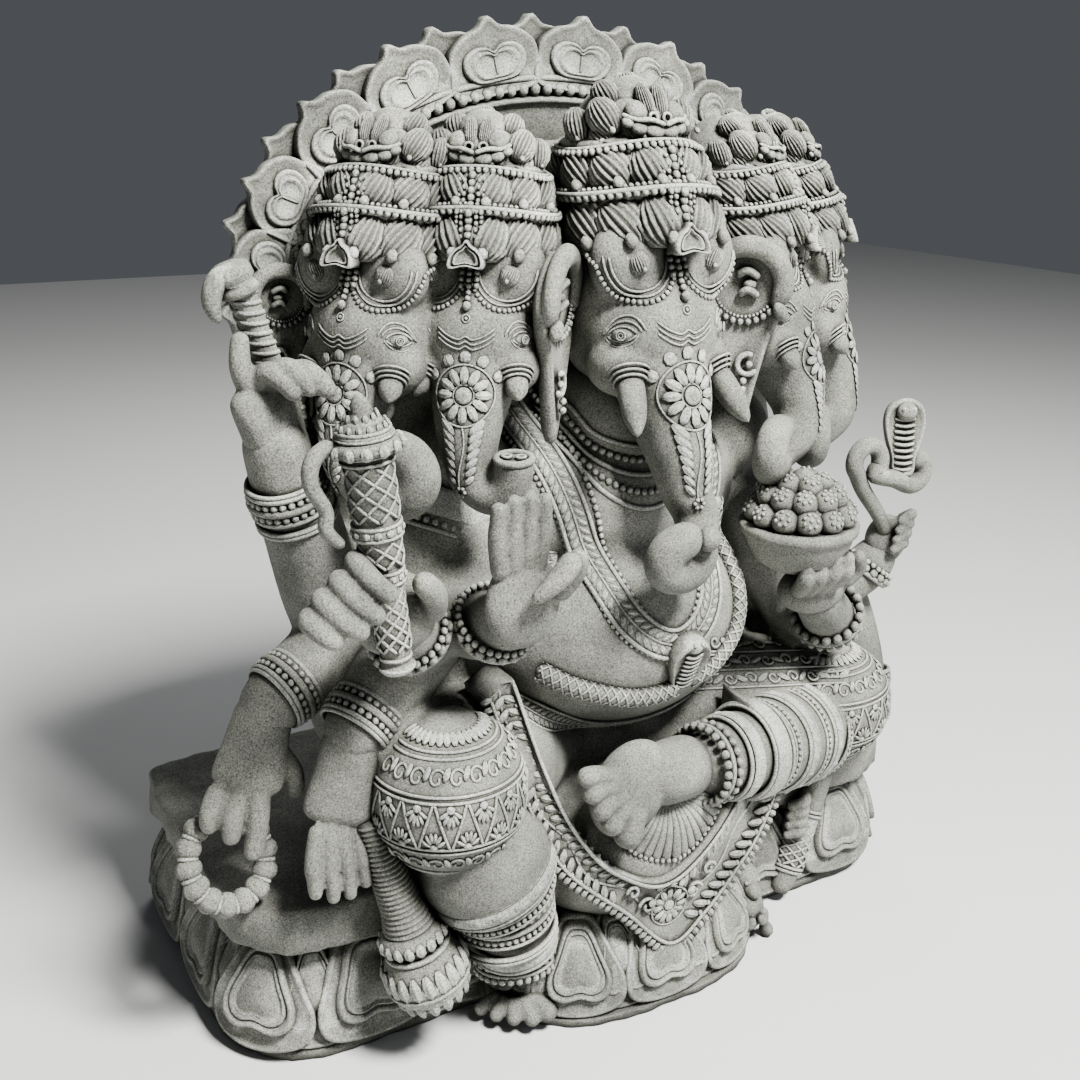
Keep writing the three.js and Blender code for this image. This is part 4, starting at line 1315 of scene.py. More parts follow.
def knee_relief(knee, start, stop):
    """Patterned cloth over a knee.

    Line pairs, a zigzag of sunburst triangles, scrolls, and a row of leaves above.
    """
    parts = []
    around = np.linspace(start, stop, 90)

    def ring(latitude, radius):
        path, normal = on_ball(knee, around, np.full(90, float(latitude)))
        parts.append(wire(path, radius, ref=normal))

    for latitude in (52, 47, 22, 18, -16, -20, -48, -52, -60):
        ring(latitude, 2.2)
    for a in np.arange(start + 12, stop - 8, 24.0):
        for ends in (((a - 12, -18), (a, 19)), ((a, 19), (a + 12, -18))):
            share = np.linspace(0, 1, 16)
            lon = ends[0][0] + (ends[1][0] - ends[0][0]) * share
            lat = ends[0][1] + (ends[1][1] - ends[0][1]) * share
            path, normal = on_ball(knee, lon, lat)
            parts.append(wire(path, 2.0, ref=normal))
        for lon, lat, up in ((a, -14, 1), (a + 12, 14, -1)):
            spokes = np.radians(np.linspace(25, 155, 6))
            centre, normal = on_ball(knee, lon + 5.5 * np.cos(spokes), lat + up * 8.5 * np.sin(spokes), 0.5)
            middle, front = on_ball(knee, np.array([float(lon)]), np.array([float(lat)]))
            parts.append(copies(LEAF, centre, upright(normal, centre - middle), np.array([2.6, 3.0, 7.0])))
            parts.append(copies(BALL, middle, upright(front), np.array([5.0, 3.0, 5.0])))
    for a in np.arange(start + 10, stop - 6, 17.0):
        for lat, s in ((34, 1), (-33, -1)):
            curl = np.radians(np.linspace(0, 400, 26))
            grow = np.linspace(7.5, 1.8, 26)
            path, normal = on_ball(knee, a + s * grow * np.cos(curl), lat + grow * np.sin(curl))
            parts.append(wire(path, 1.9, ref=normal))
            leaf, normal = on_ball(knee, np.array([a + 8.5]), np.array([lat + 3.0]), 0.5)
            parts.append(copies(LEAF, leaf, upright(normal, (0.4 * s, 0, 1)), np.array([4.0, 3.2, 9.0])))
    for a in np.arange(start, stop, 10.0):
        leaf, normal = on_ball(knee, np.array([a]), np.array([62.0]), 0.5)
        parts.append(copies(LEAF, leaf, upright(normal, (0, 0, 1)), np.array([5.0, 3.2, 10.0])))
        wave = np.linspace(-5, 5, 10)
        path, normal = on_ball(knee, a + wave, -56 + 2.5 * np.sin(wave / 5 * math.pi))
        parts.append(wire(path, 1.5, ref=normal))
    return parts


def limb_bands(points, radii, places):
    """Bands of leaves between line pairs round a limb of the given curve, at shares of its length."""
    line = spline(np.column_stack([np.asarray(points, float), radii]), 60)
    way = np.gradient(line[:, :3], axis=0)
    parts = []
    for share, kind in places:
        k = int(share * 59)
        rows = {"leaves": [(-13, "ring", 2.2), (-9, "ring", 2.0), (0, "leaves", 8), (9, "ring", 2.0),
                           (13, "ring", 2.2)], "beads": [(-6, "ring", 2.4), (0, "beads", 3.8),
                                                         (6, "ring", 2.4)]}[kind]
        parts += bangle(line[k, :3], way[k], line[k, 3] - 1, rows)
    return parts


def scroll_rows(field, start, stop, sink, rows, count):
    """Rows of curls with a leaf between, and a line under each row, laid over the thigh from start to
    stop.
    """
    start, stop, sink = (np.asarray(v, float) for v in (start, stop, sink))
    parts = []
    way = stop - start
    along = unit(way)
    for row in range(rows):
        base = start + sink * row
        line, normal = field.drop(base + way * np.linspace(0, 1, 50)[:, None] + sink * 0.5)
        for shift in (0.0, 4.5):
            parts.append(wire(line + unit(sink) * shift, 1.8, ref=normal))
        for k in range(count):
            centre = base + way * (k + 0.5) / count
            a = np.linspace(0, 6.8, 26) + (k % 2) * math.pi
            grow = np.linspace(1, 0.2, 26) * np.linalg.norm(sink) * 0.34
            curl = centre + (np.cos(a) * grow)[:, None] * along + (np.sin(a) * grow)[:, None] * unit(sink)
            path, normal = field.drop(curl)
            parts.append(wire(path, 2.0, ref=normal))
            leaf, normal = field.drop((centre + way * 0.5 / count)[None])
            parts.append(copies(LEAF, leaf, upright(normal, along + unit(sink) * (0.8 - 1.6 * (k % 2))),
                                np.array([4.5, 3.2, 11.0])))
    return parts


def shin_bands():
    """Hems and anklets.

    The right shin's hem of beads and lines, the anklet over the foot, and bands on the folded leg.
    """
    down = (16, 6, -80)
    hem = [(-26, "ring", 3), (-16, "beads", 5), (-4, "ring", 4), (6, "beads", 4), (14, "ring", 3),
           (34, "ring", 3), (40, "ring", 3)]
    parts = bangle((-205, -330, 176), down, 60, hem)
    parts += bangle((-186, -326, 116), down, 50, [(-14, "ring", 3.5), (-6, "leaves", 9), (6, "ring", 3.5)])
    parts += bangle((-183, -322, 84), (0, -12, -60), 47, [(-8, "beads", 6), (2, "ring", 3), (8, "beads", 5)])
    parts += limb_bands([(-266, -326, 320), (-226, -332, 235), (-196, -330, 170)], [88, 80, 56],
                        [(0.62, "leaves"), (0.78, "beads")])
    parts += limb_bands([(340, -262, 262), (220, -318, 284), (120, -350, 304)], [76, 66, 50],
                        [(0.2, "beads"), (0.34, "leaves"), (0.47, "beads"), (0.6, "leaves"), (0.74, "beads")])
    across = (-90, -14, 10)
    parts += bangle((70, -360, 309), across, 47, [(-10, "beads", 6), (0, "ring", 4), (10, "beads", 6)])
    parts += bangle((110, -352, 304), across, 52, [(-12, "ring", 3), (-4, "leaves", 10), (10, "ring", 3)])
    parts += bangle((160, -338, 296), across, 60, [(-16, "ring", 3), (-8, "ring", 3), (4, "leaves", 13),
                                                   (18, "ring", 3)])
    return parts


def pleats():
    """The fan of pleated cloth under the folded foot: thin folds spreading from under the shin."""
    parts = []
    for k in range(17):
        a = math.radians(197 + k * 9.2)
        root = np.array([10 + 20 * math.cos(a), -366, 286 + 8 * math.sin(a)])
        end = np.array([10 + 88 * math.cos(a), -386 + 20 * abs(math.cos(a)), 286 + 84 * math.sin(a)])
        line = spline(np.array([root, (root + end) / 2 + [0, -7, 3], end]), 16)
        parts.append(skin(carried(line, rounded(line, np.linspace(4, 8.5, 16)),
                                  rounded(line, np.linspace(5, 7.5, 16)), (0, 1, 0.1), 10)))
    a = np.radians(np.linspace(194, 348, 60))
    rim = np.stack([10 + 86 * np.cos(a), -390 + 20 * np.abs(np.cos(a)), 286 + 82 * np.sin(a)], -1)
    parts.append(bead_row(rim, 8, 4))
    return parts


SASH_OUTER = [(-217, 440), (-195, 338), (-174, 273), (-137, 212), (-62, 143), (6, 72), (61, 98), (118, 140),
              (160, 168), (198, 214), (216, 270)]
SASH_INNER = [(-180, 460), (-154, 340), (-111, 250), (-69, 208), (-14, 184), (42, 204), (104, 252),
              (140, 310), (150, 372)]


def sash():
    """The broad carved hem of the cloth.

    A thick band hanging to a point, with leaves, bead lines and a flower medallion.
    """
    outer = spline(flat_points(*np.array(SASH_OUTER, float).T), 90)
    inner = spline(flat_points(*np.array(SASH_INNER, float).T), 90)
    depth = -392 + 56 * (np.abs(outer[:, 0]) / 240) ** 2 + 34 * np.clip((outer[:, 2] - 300) / 140, 0, 1)
    share = np.array([0.0, 0.0, 0.0, 0.03, 0.1, 0.14, 0.5, 0.86, 0.9, 0.97, 1.0, 1.0, 1.0])
    lift = np.array([-60, -30, -6, -1, 0, -4, -5, -4, 0, -1, -6, -30, -60])
    row = outer[:, None] * (1 - share)[:, None] + inner[:, None] * share[:, None]
    row[..., 1] = depth[:, None] - lift
    parts = [skin(row[:, ::-1])]
    middle = (outer + inner) / 2
    middle[:, 1] = depth + 5
    way = unit(np.gradient(middle, axis=0))
    side = unit(np.cross(way, (0, -1.0, 0)))
    width = np.linalg.norm((outer - inner)[:, [0, 2]], axis=1)
    stem = middle + side * (6 * np.sin(np.arange(90) / 2.4))[:, None]
    parts.append(wire(spline(stem, 260), 2.2))
    k = np.array([i for i in range(2, 88, 2) if abs(i - 48) > 6])
    for s in (-1, 1):
        centre = middle[k] + side[k] * (s * width[k] * 0.22)[:, None]
        lean = way[k] * 0.6 + side[k] * s * 0.8
        parts.append(copies(LEAF, centre, upright(np.tile((0, -1.0, 0), (len(k), 1)), lean),
                            np.array([6.5, 6.0, 14.0])))
        curl = middle[k + 1] + side[k + 1] * (s * width[k + 1] * 0.3)[:, None]
        parts.append(beads(curl - [0, 2, 0], 4.0))
    for line, shift in ((outer, 0.1), (inner, -0.1)):
        edge = line + (inner - outer) * shift
        edge[:, 1] = depth - 1.5
        parts.append(wire(spline(edge, 160), 2.6))
    rim = outer - (inner - outer) * 0.02
    rim[:, 1] = depth + 2
    rim = spline(rim, 74)
    out = unit(np.cross(np.gradient(rim, axis=0), (0, 1.0, 0)))
    parts.append(copies(LEAF, rim, upright(np.tile((0, -1.0, 0), (74, 1)), out), np.array([5.6, 6.0, 8.0])))
    for s in (-1, 1):
        for x, z, size in ((36, 150, 13), (58, 176, 10)):
            a = np.linspace(0, 7.5, 30)
            grow = size * np.linspace(1, 0.15, 30)
            curl = np.stack([4 + s * (x + grow * np.cos(a)), np.full(30, -391.0), z + grow * np.sin(a)], -1)
            parts.append(wire(curl, 2.6))
    medal = Field(parts, cell=2.5)
    parts += rosette(medal, 4, 138, 27)
    return parts


def lap():
    """The plain cloth between the legs behind the band, with hanging folds."""
    parts = [ball((0, -290, 190), (150, 96, 100), 40, 24), ball((6, -318, 262), (96, 58, 60), 30, 18)]
    for k in range(-4, 5):
        line = [(k * 22, -356 + abs(k) * 4, 262), (k * 24, -372 + abs(k) * 6, 228),
                (k * 20, -378 + abs(k) * 7, 190)]
        parts.append(limb(line, [7, 9, 7], around=12))
    return parts


# ---- things held ----

def ways_of(low, high):
    """The way from one place to another and two ways square to it: to the side, and to the front of that."""
    way = unit(high - low)
    side = unit(np.cross((0, 1.0, 0), way))
    return way, side, np.cross(way, side)


def stood(profile, a, b, around=40, ribs=0, depth=0.0):
    """A turned shape: (radius, height) pairs about the line from a to b, with optional ribs round it."""
    a, b = np.asarray(a, float), np.asarray(b, float)
    z = unit(b - a)
    x = unit(np.cross((0, 1.0, 0), z))
    y = np.cross(z, x)
    rows = np.asarray(profile, float)
    t = round_about(around)
    swing = 1 - depth * (0.5 + 0.5 * np.cos(ribs * t))
    ring = (np.cos(t) * swing)[:, None] * x + (np.sin(t) * swing)[:, None] * y
    return skin(a + rows[:, 1][:, None, None] * z + rows[:, 0][:, None, None] * ring)


def goad():
    """A rope-twisted shaft with a small stepped cap, and a hook bent down beside it."""
    path = spline(np.array([(-449, -200, 925), (-412, -190, 820), (-352, -180, 690)], float), 90)
    parts = [skin(carried(path, 15, 15, (0, 1, 0), 16))]
    way = unit(path[-1] - path[0])
    side = unit(np.cross(way, (0, 1.0, 0)))
    front = np.cross(side, way)
    turn = np.linspace(0, 46, 240)
    line = spline(path, 240)
    for k in range(3):
        a = turn + k * TAU / 3
        parts.append(wire(line + 14 * spun(a, side, front), 3.2, ref=(0, 1, 0)))
    parts.append(stood([(8, 0), (20, 2), (23, 7), (20, 12), (17, 14), (22, 19), (21, 28), (18, 33), (2, 35)],
                       (-446, -200, 906), (-458, -203, 942)))
    parts.append(limb([(-452, -206, 930), (-470, -208, 924), (-478, -208, 902), (-472, -208, 880)],
                      [8, 11, 10, 5]))
    return parts


CLUB = [(1, 0), (16, 0), (19, 4), (16, 8), (13, 12), (16, 16), (14, 22), (16, 30), (17, 66), (18, 98),
        (21, 102), (21, 114), (18, 118), (21, 126), (22, 148), (25, 152), (25, 164), (22, 168), (24, 176),
        (24, 226), (27, 230), (24, 236), (33, 240), (37, 244), (33, 250), (27, 253), (29, 257), (25, 261),
        (22, 266), (13, 274), (9, 278), (10, 284), (6, 291), (1, 296)]


def club():
    """A turned club.

    Banded foot, three latticed drums, scalloped flange, a bud on a leafy cone, and a bent handle.
    """
    low, high = np.array([-361, -388, 543.0]), np.array([-395, -388, 828.0])
    way, side, front = ways_of(low, high)
    parts = [stood(CLUB, low, high, 40)]
    for start, stop, radius, share in ((170, 228, 24, 0.42), (120, 150, 21.5, 0.24), (26, 98, 17, 0.62)):
        for k in range(7):
            for s in (-1, 1):
                a = s * np.linspace(0, share * TAU, 30) + k * TAU / 7
                height = np.linspace(start, stop, 30)
                line = low + way * height[:, None] + radius * spun(a, side, front)
                parts.append(wire(line, 2.0))
    for at, radius, size in ((102, 20, 2.4), (114, 20, 2.4), (152, 24, 2.4), (164, 24, 2.4), (230, 26, 2.4),
                             (237, 26, 2.4), (254, 28, 2.4), (260, 26, 2.4), (5, 17, 2.4), (17, 15, 2.4)):
        parts.append(wire(circle(low + way * at, way, radius), size, ref=way, closed=True))
    for at, radius, count, size in ((244, 34, 13, (7, 7, 7)), (158, 24, 13, (4.8, 4, 4.8)),
                                    (108, 20, 12, (4.6, 4, 4.6)), (262, 23, 15, (4, 4, 7)),
                                    (271, 15, 11, (3.6, 3.6, 7))):
        a = round_about(count)
        out = spun(a, side, front)
        parts.append(copies(LEAF, low + way * at + out * radius, upright(out, way), np.array(size, float)))
    handle = [(-424, -390, 792), (-444, -392, 778), (-448, -392, 754), (-434, -392, 726), (-434, -392, 706),
              (-416, -390, 686)]
    parts.append(limb(handle, [7, 8.5, 8, 7.5, 7.5, 5], around=14))
    return parts


def bead_ring():
    """The string of long rough beads hanging from the lower hand.

    A barrel and a pair of thin discs, over and over.
    """
    centre, radius = np.array([-508, -226, 272.0]), 46
    frame = turning(x=-26)
    parts = []
    for k in range(14):
        a = k / 14 * TAU
        place = centre + np.array([radius * 0.96 * math.cos(a), 0, radius * 1.12 * math.sin(a)]) @ frame.T
        way = np.array([-math.sin(a), 0, 1.16 * math.cos(a)]) @ frame.T
        barrel = [(3, -12), (11, -10), (15, -5), (16, 0), (15, 5), (11, 10), (3, 12)]
        parts.append(stood(barrel, place, place + way, 20, 7, 0.14))
        a2 = (k + 0.5) / 14 * TAU
        place = centre + np.array([radius * 0.96 * math.cos(a2), 0, radius * 1.12 * math.sin(a2)]) @ frame.T
        way = np.array([-math.sin(a2), 0, 1.16 * math.cos(a2)]) @ frame.T
        parts.append(stood([(3, -3), (11, -2.5), (12, 0), (11, 2.5), (3, 3)], place, place + way, 18))
    return parts


def mace():
    """A mace resting head down on the slab: a thread-ringed shaft, a scalloped collar and a fluted dome."""
    low, high = np.array([-312, -338, 128.0]), np.array([-366, -318, 318.0])
    way, side, front = ways_of(low, high)
    heights = np.arange(64, 216, 1.6)
    threads = [(np.interp(h, [64, 90, 216], [31, 25, 16]) + 1.5 * math.sin(h / 6.5 * TAU), h)
               for h in heights]
    dome = [(1, -52), (24, -49), (30, -44)]
    collar = [(46, -24), (51, 0), (46, 20), (36, 32), (33, 40), (38, 48), (40, 54), (36, 60), (31, 64)]
    parts = [stood([*dome, *collar, *threads, (1, 216)], low, high, 44)]
    for count, height, radius, size in ((20, 4, 47, (8, 7, 19)), (16, -26, 40, (8, 7, 15)),
                                        (18, 50, 38, (7, 6, 9))):
        b = round_about(count)
        out = spun(b, side, front)
        parts.append(copies(LEAF, low + way * height + out * radius, upright(out, way),
                            np.array(size, float)))
    parts.append(wire(circle(low - way * 12, way, 49), 3, ref=way, closed=True))
    parts.append(wire(circle(low + way * 34, way, 37), 4, ref=way, closed=True))
    return parts


def cobra():
    """A snake looped over the hand, its hood raised and ribbed."""
    a = np.radians(np.linspace(235, -60, 9))
    loop = np.stack([446 + 21 * np.cos(a), -206 - np.arange(9) * 1.5, 622 + 23 * np.sin(a)], -1)
    body = [(496, -216, 506), (476, -212, 540), (450, -206, 576), *loop, (492, -222, 592), (528, -220, 578),
            (552, -216, 588), (550, -214, 610), (524, -214, 618)]
    parts = [limb(body, np.interp(np.arange(len(body)), [0, 3, 12, 16], [10, 12.5, 13, 15]), around=16)]
    hood = outline_of([(-14, -52), (-18, -26), (-27, 4), (-30, 30), (-22, 50), (0, 58), (22, 50), (30, 30),
                       (27, 4), (18, -26), (14, -52)], 48)
    rings = dish(hood, np.array([0.0, 0.0]), [(0.05, -9), (0.9, -9), (1, -6), (1.02, 2), (0.98, 6), (0.9, 7),
                                              (0.82, 3), (0.5, 2), (0.05, 2)])
    frame, place = turning(x=-6, z=-22), np.array([508, -216, 648.0])
    parts += moved([skin(rings)], frame, place)
    for z in range(-44, 30, 9):
        rib = spline(np.array([(-17, -3, z + 2), (0, -6, z), (17, -3, z + 2)], float), 12)
        parts += moved([wire(rib, 2.6)], frame, place)
    parts += moved([ball((0, -6, 40), (15, 13, 14), 18, 12), beads([[-8, -15, 44], [8, -15, 44]], 3.5)],
                   frame, place)
    return parts


def bowl():
    """A plain bowl heaped with round sweets, each with a ring of dots round one in the middle."""
    low = np.array([206, -346, 546.0])
    high = low + [-2, 0, 100]
    parts = [stood([(1, 0), (34, 2), (56, 16), (67, 38), (69, 47), (74, 51), (75, 60), (69, 64), (61, 62),
                    (1, 64)], low, high, 48)]
    parts.append(wire(circle(low + [0, 0, 51], (0, 0, 1), 68), 2.4, ref=(0, 0, 1), closed=True))
    centres = []
    for count, radius, height in ((12, 54, 74), (10, 41, 95), (5, 22, 108), (1, 0, 113)):
        a = (np.arange(count) + 0.5 * (height > 80)) / count * TAU
        centres.append(np.stack([radius * np.cos(a), radius * np.sin(a), np.full(count, height)], -1))
    centres = np.concatenate(centres) + low
    eye = np.broadcast_to(np.eye(3), (len(centres), 3, 3))
    parts.append(copies(BALL, centres, eye, np.array([16.5, 16.5, 16.5])))
    parts.append(ball(low + [0, 0, 76], (54, 54, 32), 30, 18))
    out = unit(centres - (low + [0, 0, 40]))
    for c, n in zip(centres, out):
        frame = upright(n[None])[0]
        a = round_about(7)
        dots = c + n * 14 + 8 * spun(a, frame[0], frame[2])
        parts.append(beads(np.vstack([dots, c + n * 16]), 3.0))
    return parts


def sword():
    """A sheathed sword standing on the base beside the folded knee.

    Crossed lines between line pairs, a plain leaf beside it.
    """
    low, high = np.array([272, -294, 14.0]), np.array([362, -262, 214.0])
    way, side, front = ways_of(low, high)
    parts = [stood([(1, 0), (12, 1), (17, 12), (22, 34), (26, 110), (27, 180), (25, 220), (1, 224)], low,
                   high, 36)]
    for k in range(7):
        for s in (-1, 1):
            a = s * np.linspace(0, TAU * 0.8, 40) + k * TAU / 7
            line = low + way * np.linspace(44, 120, 40)[:, None] + 24 * spun(a, side, front)
            parts.append(wire(line, 2.2))
    for at, radius in ((36, 22), (42, 23), (122, 26), (128, 26), (200, 26), (208, 26)):
        parts.append(wire(circle(low + way * at, way, radius), 3, ref=way, closed=True))
    parts.append(ball((440, -232, 150), (26, 16, 64), 24, 16))
    return parts


def held_tusk():
    """The broken tusk between the raised hand's thumb and forefinger."""
    return [limb([(-232, -440, 612), (-206, -448, 636), (-186, -450, 660)], [6, 12, 12], around=16)]


def mouse():
    """The mouse crouched at the foot of the band, facing out with its paws together."""
    parts = [ball((176, -322, 36), (36, 34, 36), 24, 16), ball((186, -312, 78), (24, 26, 22), 22, 14),
             ball((184, -336, 70), (12, 16, 11))]
    for s in (-1, 1):
        parts.append(ball((186 + s * 20, -304, 92), (9, 6, 11), 14, 10))
        parts.append(beads([[186 + s * 10, -334, 82]], 3.5))
        parts.append(limb([(176 + s * 22, -344, 44), (176 + s * 14, -358, 34), (176 + s * 4, -362, 44)],
                          [9, 8, 7], around=12))
        parts.append(limb([(176 + s * 30, -340, 12), (176 + s * 26, -362, 8)], [11, 8], around=12))
    return parts


# ---- looks ----

def linear(code):
    """An sRGB hex colour as linear numbers."""
    channels = [int(code[i:i + 2], 16) / 255 for i in (1, 3, 5)]
    return (*[c / 12.92 if c <= 0.04045 else ((c + 0.055) / 1.055) ** 2.4 for c in channels], 1.0)


def node(tree, kind, values=None, links=None, **settings):
    """Adds one node with its settings, the values of its sockets and the links into it."""
    made = tree.nodes.new(kind)
    for key, value in settings.items():
        setattr(made, key, value)
    for key, value in (values or {}).items():
        made.inputs[key].default_value = value
    for key, source in (links or {}).items():
        tree.links.new(source, made.inputs[key])
    return made


def steps(ramp, stops):
    """Sets a colour ramp's stops."""
    while len(ramp.elements) < len(stops):
        ramp.elements.new(0.5)
    for element, (place, colour) in zip(ramp.elements, stops):
        element.position = place
        element.color = colour


def weathered_granite():
    """A dull, slightly green grey peppered with pale and dark grains a millimetre or two across.

    It is blotched with paler dust and pitted by the chisel and the rain; painted shade darkens its creases and
    hollows to a brownish grey, and a painted highlight pales its edges.
    """
    material = bpy.data.materials.new("weathered_granite")
    material.use_nodes = True
    tree = material.node_tree
    tree.nodes.clear()
    place = node(tree, "ShaderNodeTexCoord").outputs["Object"]
    blotch = node(tree, "ShaderNodeTexNoise", {"Scale": 9.0, "Detail": 5.0, "Roughness": 0.62},
                  {"Vector": place})
    base = node(tree, "ShaderNodeValToRGB", links={"Fac": blotch.outputs["Fac"]})
    steps(base.color_ramp, [(0.3, linear("#6c6e6b")), (0.5, linear("#8f918d")), (0.7, linear("#b0b1ac"))])
    grain = node(tree, "ShaderNodeTexNoise", {"Scale": 520.0, "Detail": 3.0, "Roughness": 0.7},
                 {"Vector": place})
    pepper = node(tree, "ShaderNodeValToRGB", links={"Fac": grain.outputs["Fac"]})
    steps(pepper.color_ramp, [(0.36, linear("#333532")), (0.48, linear("#b4b4b0")),
                              (0.55, linear("#bcbcb8")), (0.66, linear("#ffffff"))])
    stone = node(tree, "ShaderNodeMix", {"Factor": 0.75}, {"A": base.outputs["Color"],
                                                           "B": pepper.outputs["Color"]}, data_type="RGBA",
                 blend_type="OVERLAY")
    # Painted shade: ambient occlusion over 6 mm turns the grooves and fine creases dark grey.
    groove = node(tree, "ShaderNodeAmbientOcclusion", {"Distance": 0.006}, samples=6)
    groove_painted_shade = node(tree, "ShaderNodeValToRGB", links={"Fac": groove.outputs["AO"]})
    steps(groove_painted_shade.color_ramp, [(0.3, linear("#54524c")), (0.65, linear("#bbbab4")),
                                 (0.9, linear("#ffffff"))])
    # Painted shade: ambient occlusion over 35 mm darkens the deeper hollows between the parts.
    hollow = node(tree, "ShaderNodeAmbientOcclusion", {"Distance": 0.035}, samples=6)
    hollow_painted_shade = node(tree, "ShaderNodeValToRGB", links={"Fac": hollow.outputs["AO"]})
    steps(hollow_painted_shade.color_ramp, [(0.2, linear("#4a4945")), (0.6, linear("#a5a49f")),
                                 (0.9, linear("#ffffff"))])
    lined = node(tree, "ShaderNodeMix", {"Factor": 0.9}, {"A": stone.outputs["Result"],
                                                          "B": groove_painted_shade.outputs["Color"]}, data_type="RGBA",
                 blend_type="MULTIPLY")
    # Painted highlight: inside ambient occlusion finds the convex edges, and the ramp named worn keeps them
    # white while flatter stone is multiplied darker, so the edges read as lit.
    edge = node(tree, "ShaderNodeAmbientOcclusion", {"Distance": 0.007}, samples=6, inside=True,
                only_local=True)
    worn = node(tree, "ShaderNodeValToRGB", links={"Fac": edge.outputs["AO"]})
    steps(worn.color_ramp, [(0.35, linear("#ffffff")), (0.75, linear("#b9b9b2")), (1.0, linear("#a5a59e"))])
    edge_highlighted = node(tree, "ShaderNodeMix", {"Factor": 0.8}, {"A": lined.outputs["Result"],
                                                           "B": worn.outputs["Color"]}, data_type="RGBA",
                  blend_type="MULTIPLY")
    shaded = node(tree, "ShaderNodeMix", {"Factor": 0.9}, {"A": edge_highlighted.outputs["Result"],
                                                           "B": hollow_painted_shade.outputs["Color"]},
                  data_type="RGBA", blend_type="MULTIPLY")
    pits = node(tree, "ShaderNodeTexNoise", {"Scale": 300.0, "Detail": 4.0, "Roughness": 0.65},
                {"Vector": place})
    chisel = node(tree, "ShaderNodeTexNoise", {"Scale": 55.0, "Detail": 4.0, "Roughness": 0.6},
                  {"Vector": place})
    coarse = node(tree, "ShaderNodeBump", {"Strength": 0.55, "Distance": 0.0028},
                  {"Height": chisel.outputs["Fac"]})
    fine = node(tree, "ShaderNodeBump", {"Strength": 0.6, "Distance": 0.0011},
                {"Height": pits.outputs["Fac"], "Normal": coarse.outputs["Normal"]})
    surface = node(tree, "ShaderNodeBsdfPrincipled", {"Roughness": 0.88, "Specular IOR Level": 0.3},
                   {"Base Color": shaded.outputs["Result"], "Normal": fine.outputs["Normal"]})
    node(tree, "ShaderNodeOutputMaterial", links={"Surface": surface.outputs["BSDF"]})
    return material


def plain(name, code, roughness):
    """A plain dull colour, for the studio floor."""
    material = bpy.data.materials.new(name)
    material.use_nodes = True
    surface = material.node_tree.nodes["Principled BSDF"]
    surface.inputs["Base Color"].default_value = linear(code)
    surface.inputs["Roughness"].default_value = roughness
    return material


# ---- the pieces ----

torso_parts, leg_parts, foot_parts = torso(), legs(), feet()
arm_parts, hand_parts = sorted_limbs(right_arms() + left_arms())
body = piece("body", torso_parts + leg_parts + arm_parts + lap())
hands = piece("hands_and_feet", hand_parts + foot_parts)


def one_skin(obj, cell, times):
    """Melts a piece's parts into one skin of cell millimetres and eases it."""
    remesh = obj.modifiers.new("one skin", "REMESH")
    remesh.mode = "VOXEL"
    remesh.voxel_size = cell * MM
    remesh.use_smooth_shade = True
    ease = obj.modifiers.new("ease", "SMOOTH")
    ease.factor = 0.5
    ease.iterations = times


one_skin(body, 6.4, 2)
one_skin(hands, 2.6, 1)

front = Field(torso_parts + leg_parts[:1] + leg_parts[3:4], cell=4.0)
seen = Field(torso_parts[:7] + leg_parts, turn=-20, rise=25, cell=4.0)
pieces = [body, hands]
pieces.append(piece("lotus_base", base_parts()))
pieces.append(piece("halo", halo_parts()))
one_crown = crown_parts()
for k, name in enumerate(HEAD_NAMES):
    pieces.append(piece("crown_" + name, at_head(one_crown, k)))
heads = piece("heads", [part for k in range(5) for part in at_head(head_mass(k)[0], k)])
one_skin(heads, 4.0, 4)
pieces.append(heads)
for k, name in enumerate(HEAD_NAMES):
    pieces.append(piece("face_" + name, at_head(head_relief(k), k)))
pieces.append(piece("jewellery", arm_rings() + necklaces(front) + belly_snake(front)))
cloth = knee_relief(RIGHT_KNEE, -95, 95) + knee_relief(LEFT_KNEE, -60, 100) + shin_bands() + pleats() + sash()
cloth += scroll_rows(seen, (110, -200, 400), (360, -240, 372), (4, 0, -27), 3, 8)
pieces.append(piece("cloth_relief", cloth))
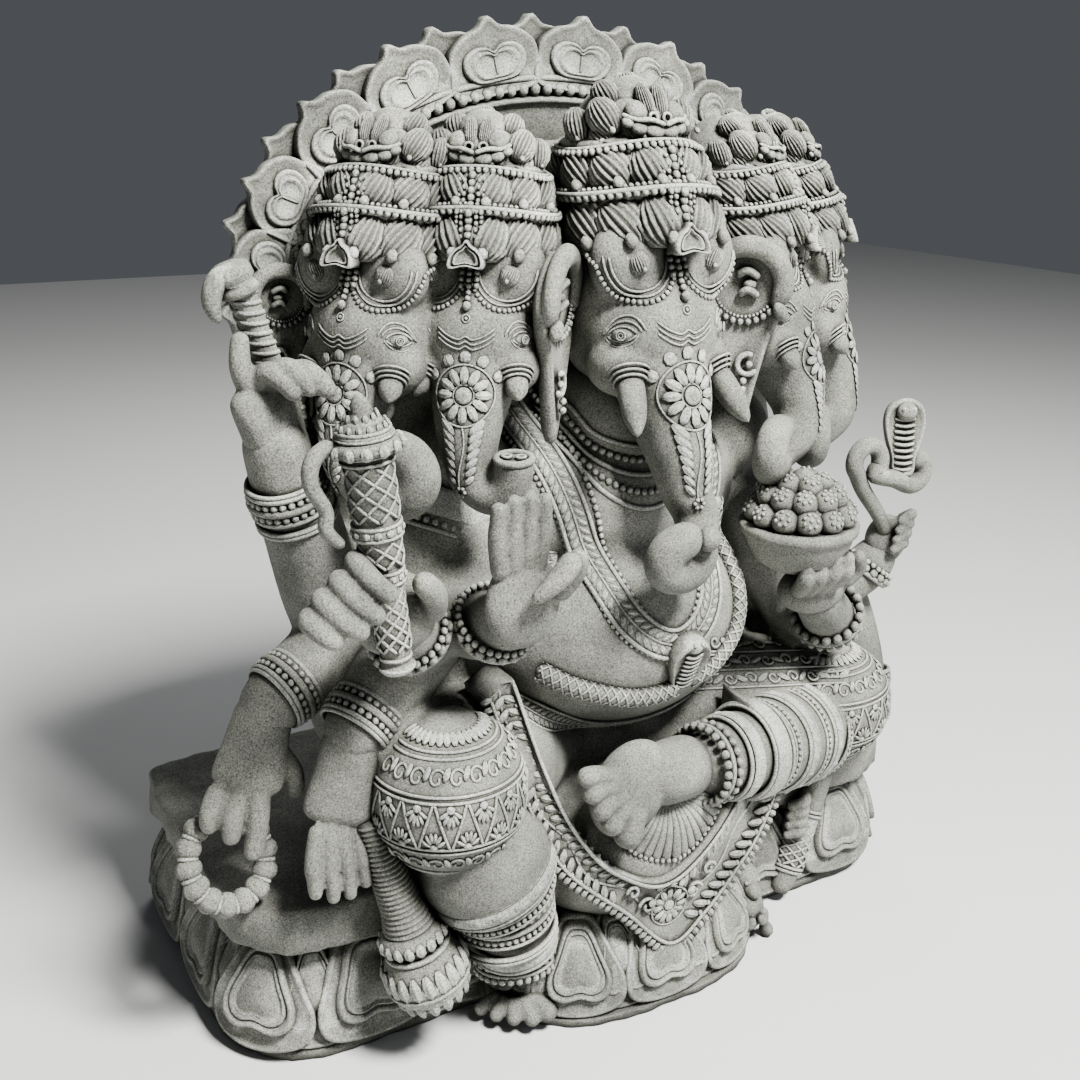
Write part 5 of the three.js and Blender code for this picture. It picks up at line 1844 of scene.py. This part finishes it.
held = goad() + club() + bead_ring() + mace() + cobra() + bowl() + sword() + held_tusk() + mouse()
pieces.append(piece("things_held", held))

granite = weathered_granite()
for part in pieces:
    part.data.materials.append(granite)
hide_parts(NODE)

# ---- studio ----

bpy.ops.mesh.primitive_plane_add(size=14, location=(0, 0, 0))
floor = bpy.context.object
floor.name = "floor"
floor.data.materials.append(plain("studio_floor", "#b9bab9", 0.9))


def lamp(name, place, target, size, power, code):
    """A soft square lamp aimed at a point."""
    light = bpy.data.lights.new(name, "AREA")
    light.size = size
    light.energy = power
    light.color = linear(code)[:3]
    made = bpy.data.objects.new(name, light)
    bpy.context.collection.objects.link(made)
    made.location = place
    made.rotation_euler = (Vector(target) - Vector(place)).to_track_quat("-Z", "Y").to_euler()


lamp("key", (0.35, -2.0, 3.3), (0, 0, 0.6), 0.8, 740, "#fffdfa")
lamp("fill", (2.6, -2.4, 1.6), (0, 0, 0.5), 2.4, 26, "#eef3ff")
lamp("rim", (1.2, 2.4, 2.6), (0, 0, 0.7), 1.4, 40, "#ffffff")

world = bpy.data.worlds.new("studio")
world.use_nodes = True
world.node_tree.nodes["Background"].inputs["Color"].default_value = linear("#8c9096")
world.node_tree.nodes["Background"].inputs["Strength"].default_value = 0.3
bpy.context.scene.world = world

CAMERA = dict(azimuth=-30.36, elevation=18.88, roll=0.941, lens=42.95, place=(-0.8506, -1.3630, 1.101))
camera_data = bpy.data.cameras.new("camera")
camera_data.lens = CAMERA["lens"]
camera_data.sensor_width = 36.0
camera = bpy.data.objects.new("camera", camera_data)
bpy.context.collection.objects.link(camera)
a, e = math.radians(CAMERA["azimuth"]), math.radians(CAMERA["elevation"])
back = Vector((math.sin(a) * math.cos(e), -math.cos(a) * math.cos(e), math.sin(e)))
level = Vector((math.cos(a), math.sin(a), 0))
view = Matrix((level, back.cross(level), back)).transposed()
camera.rotation_euler = (view @ Matrix.Rotation(math.radians(CAMERA["roll"]), 3, "Z")).to_euler()
camera.location = CAMERA["place"]
bpy.context.scene.camera = camera
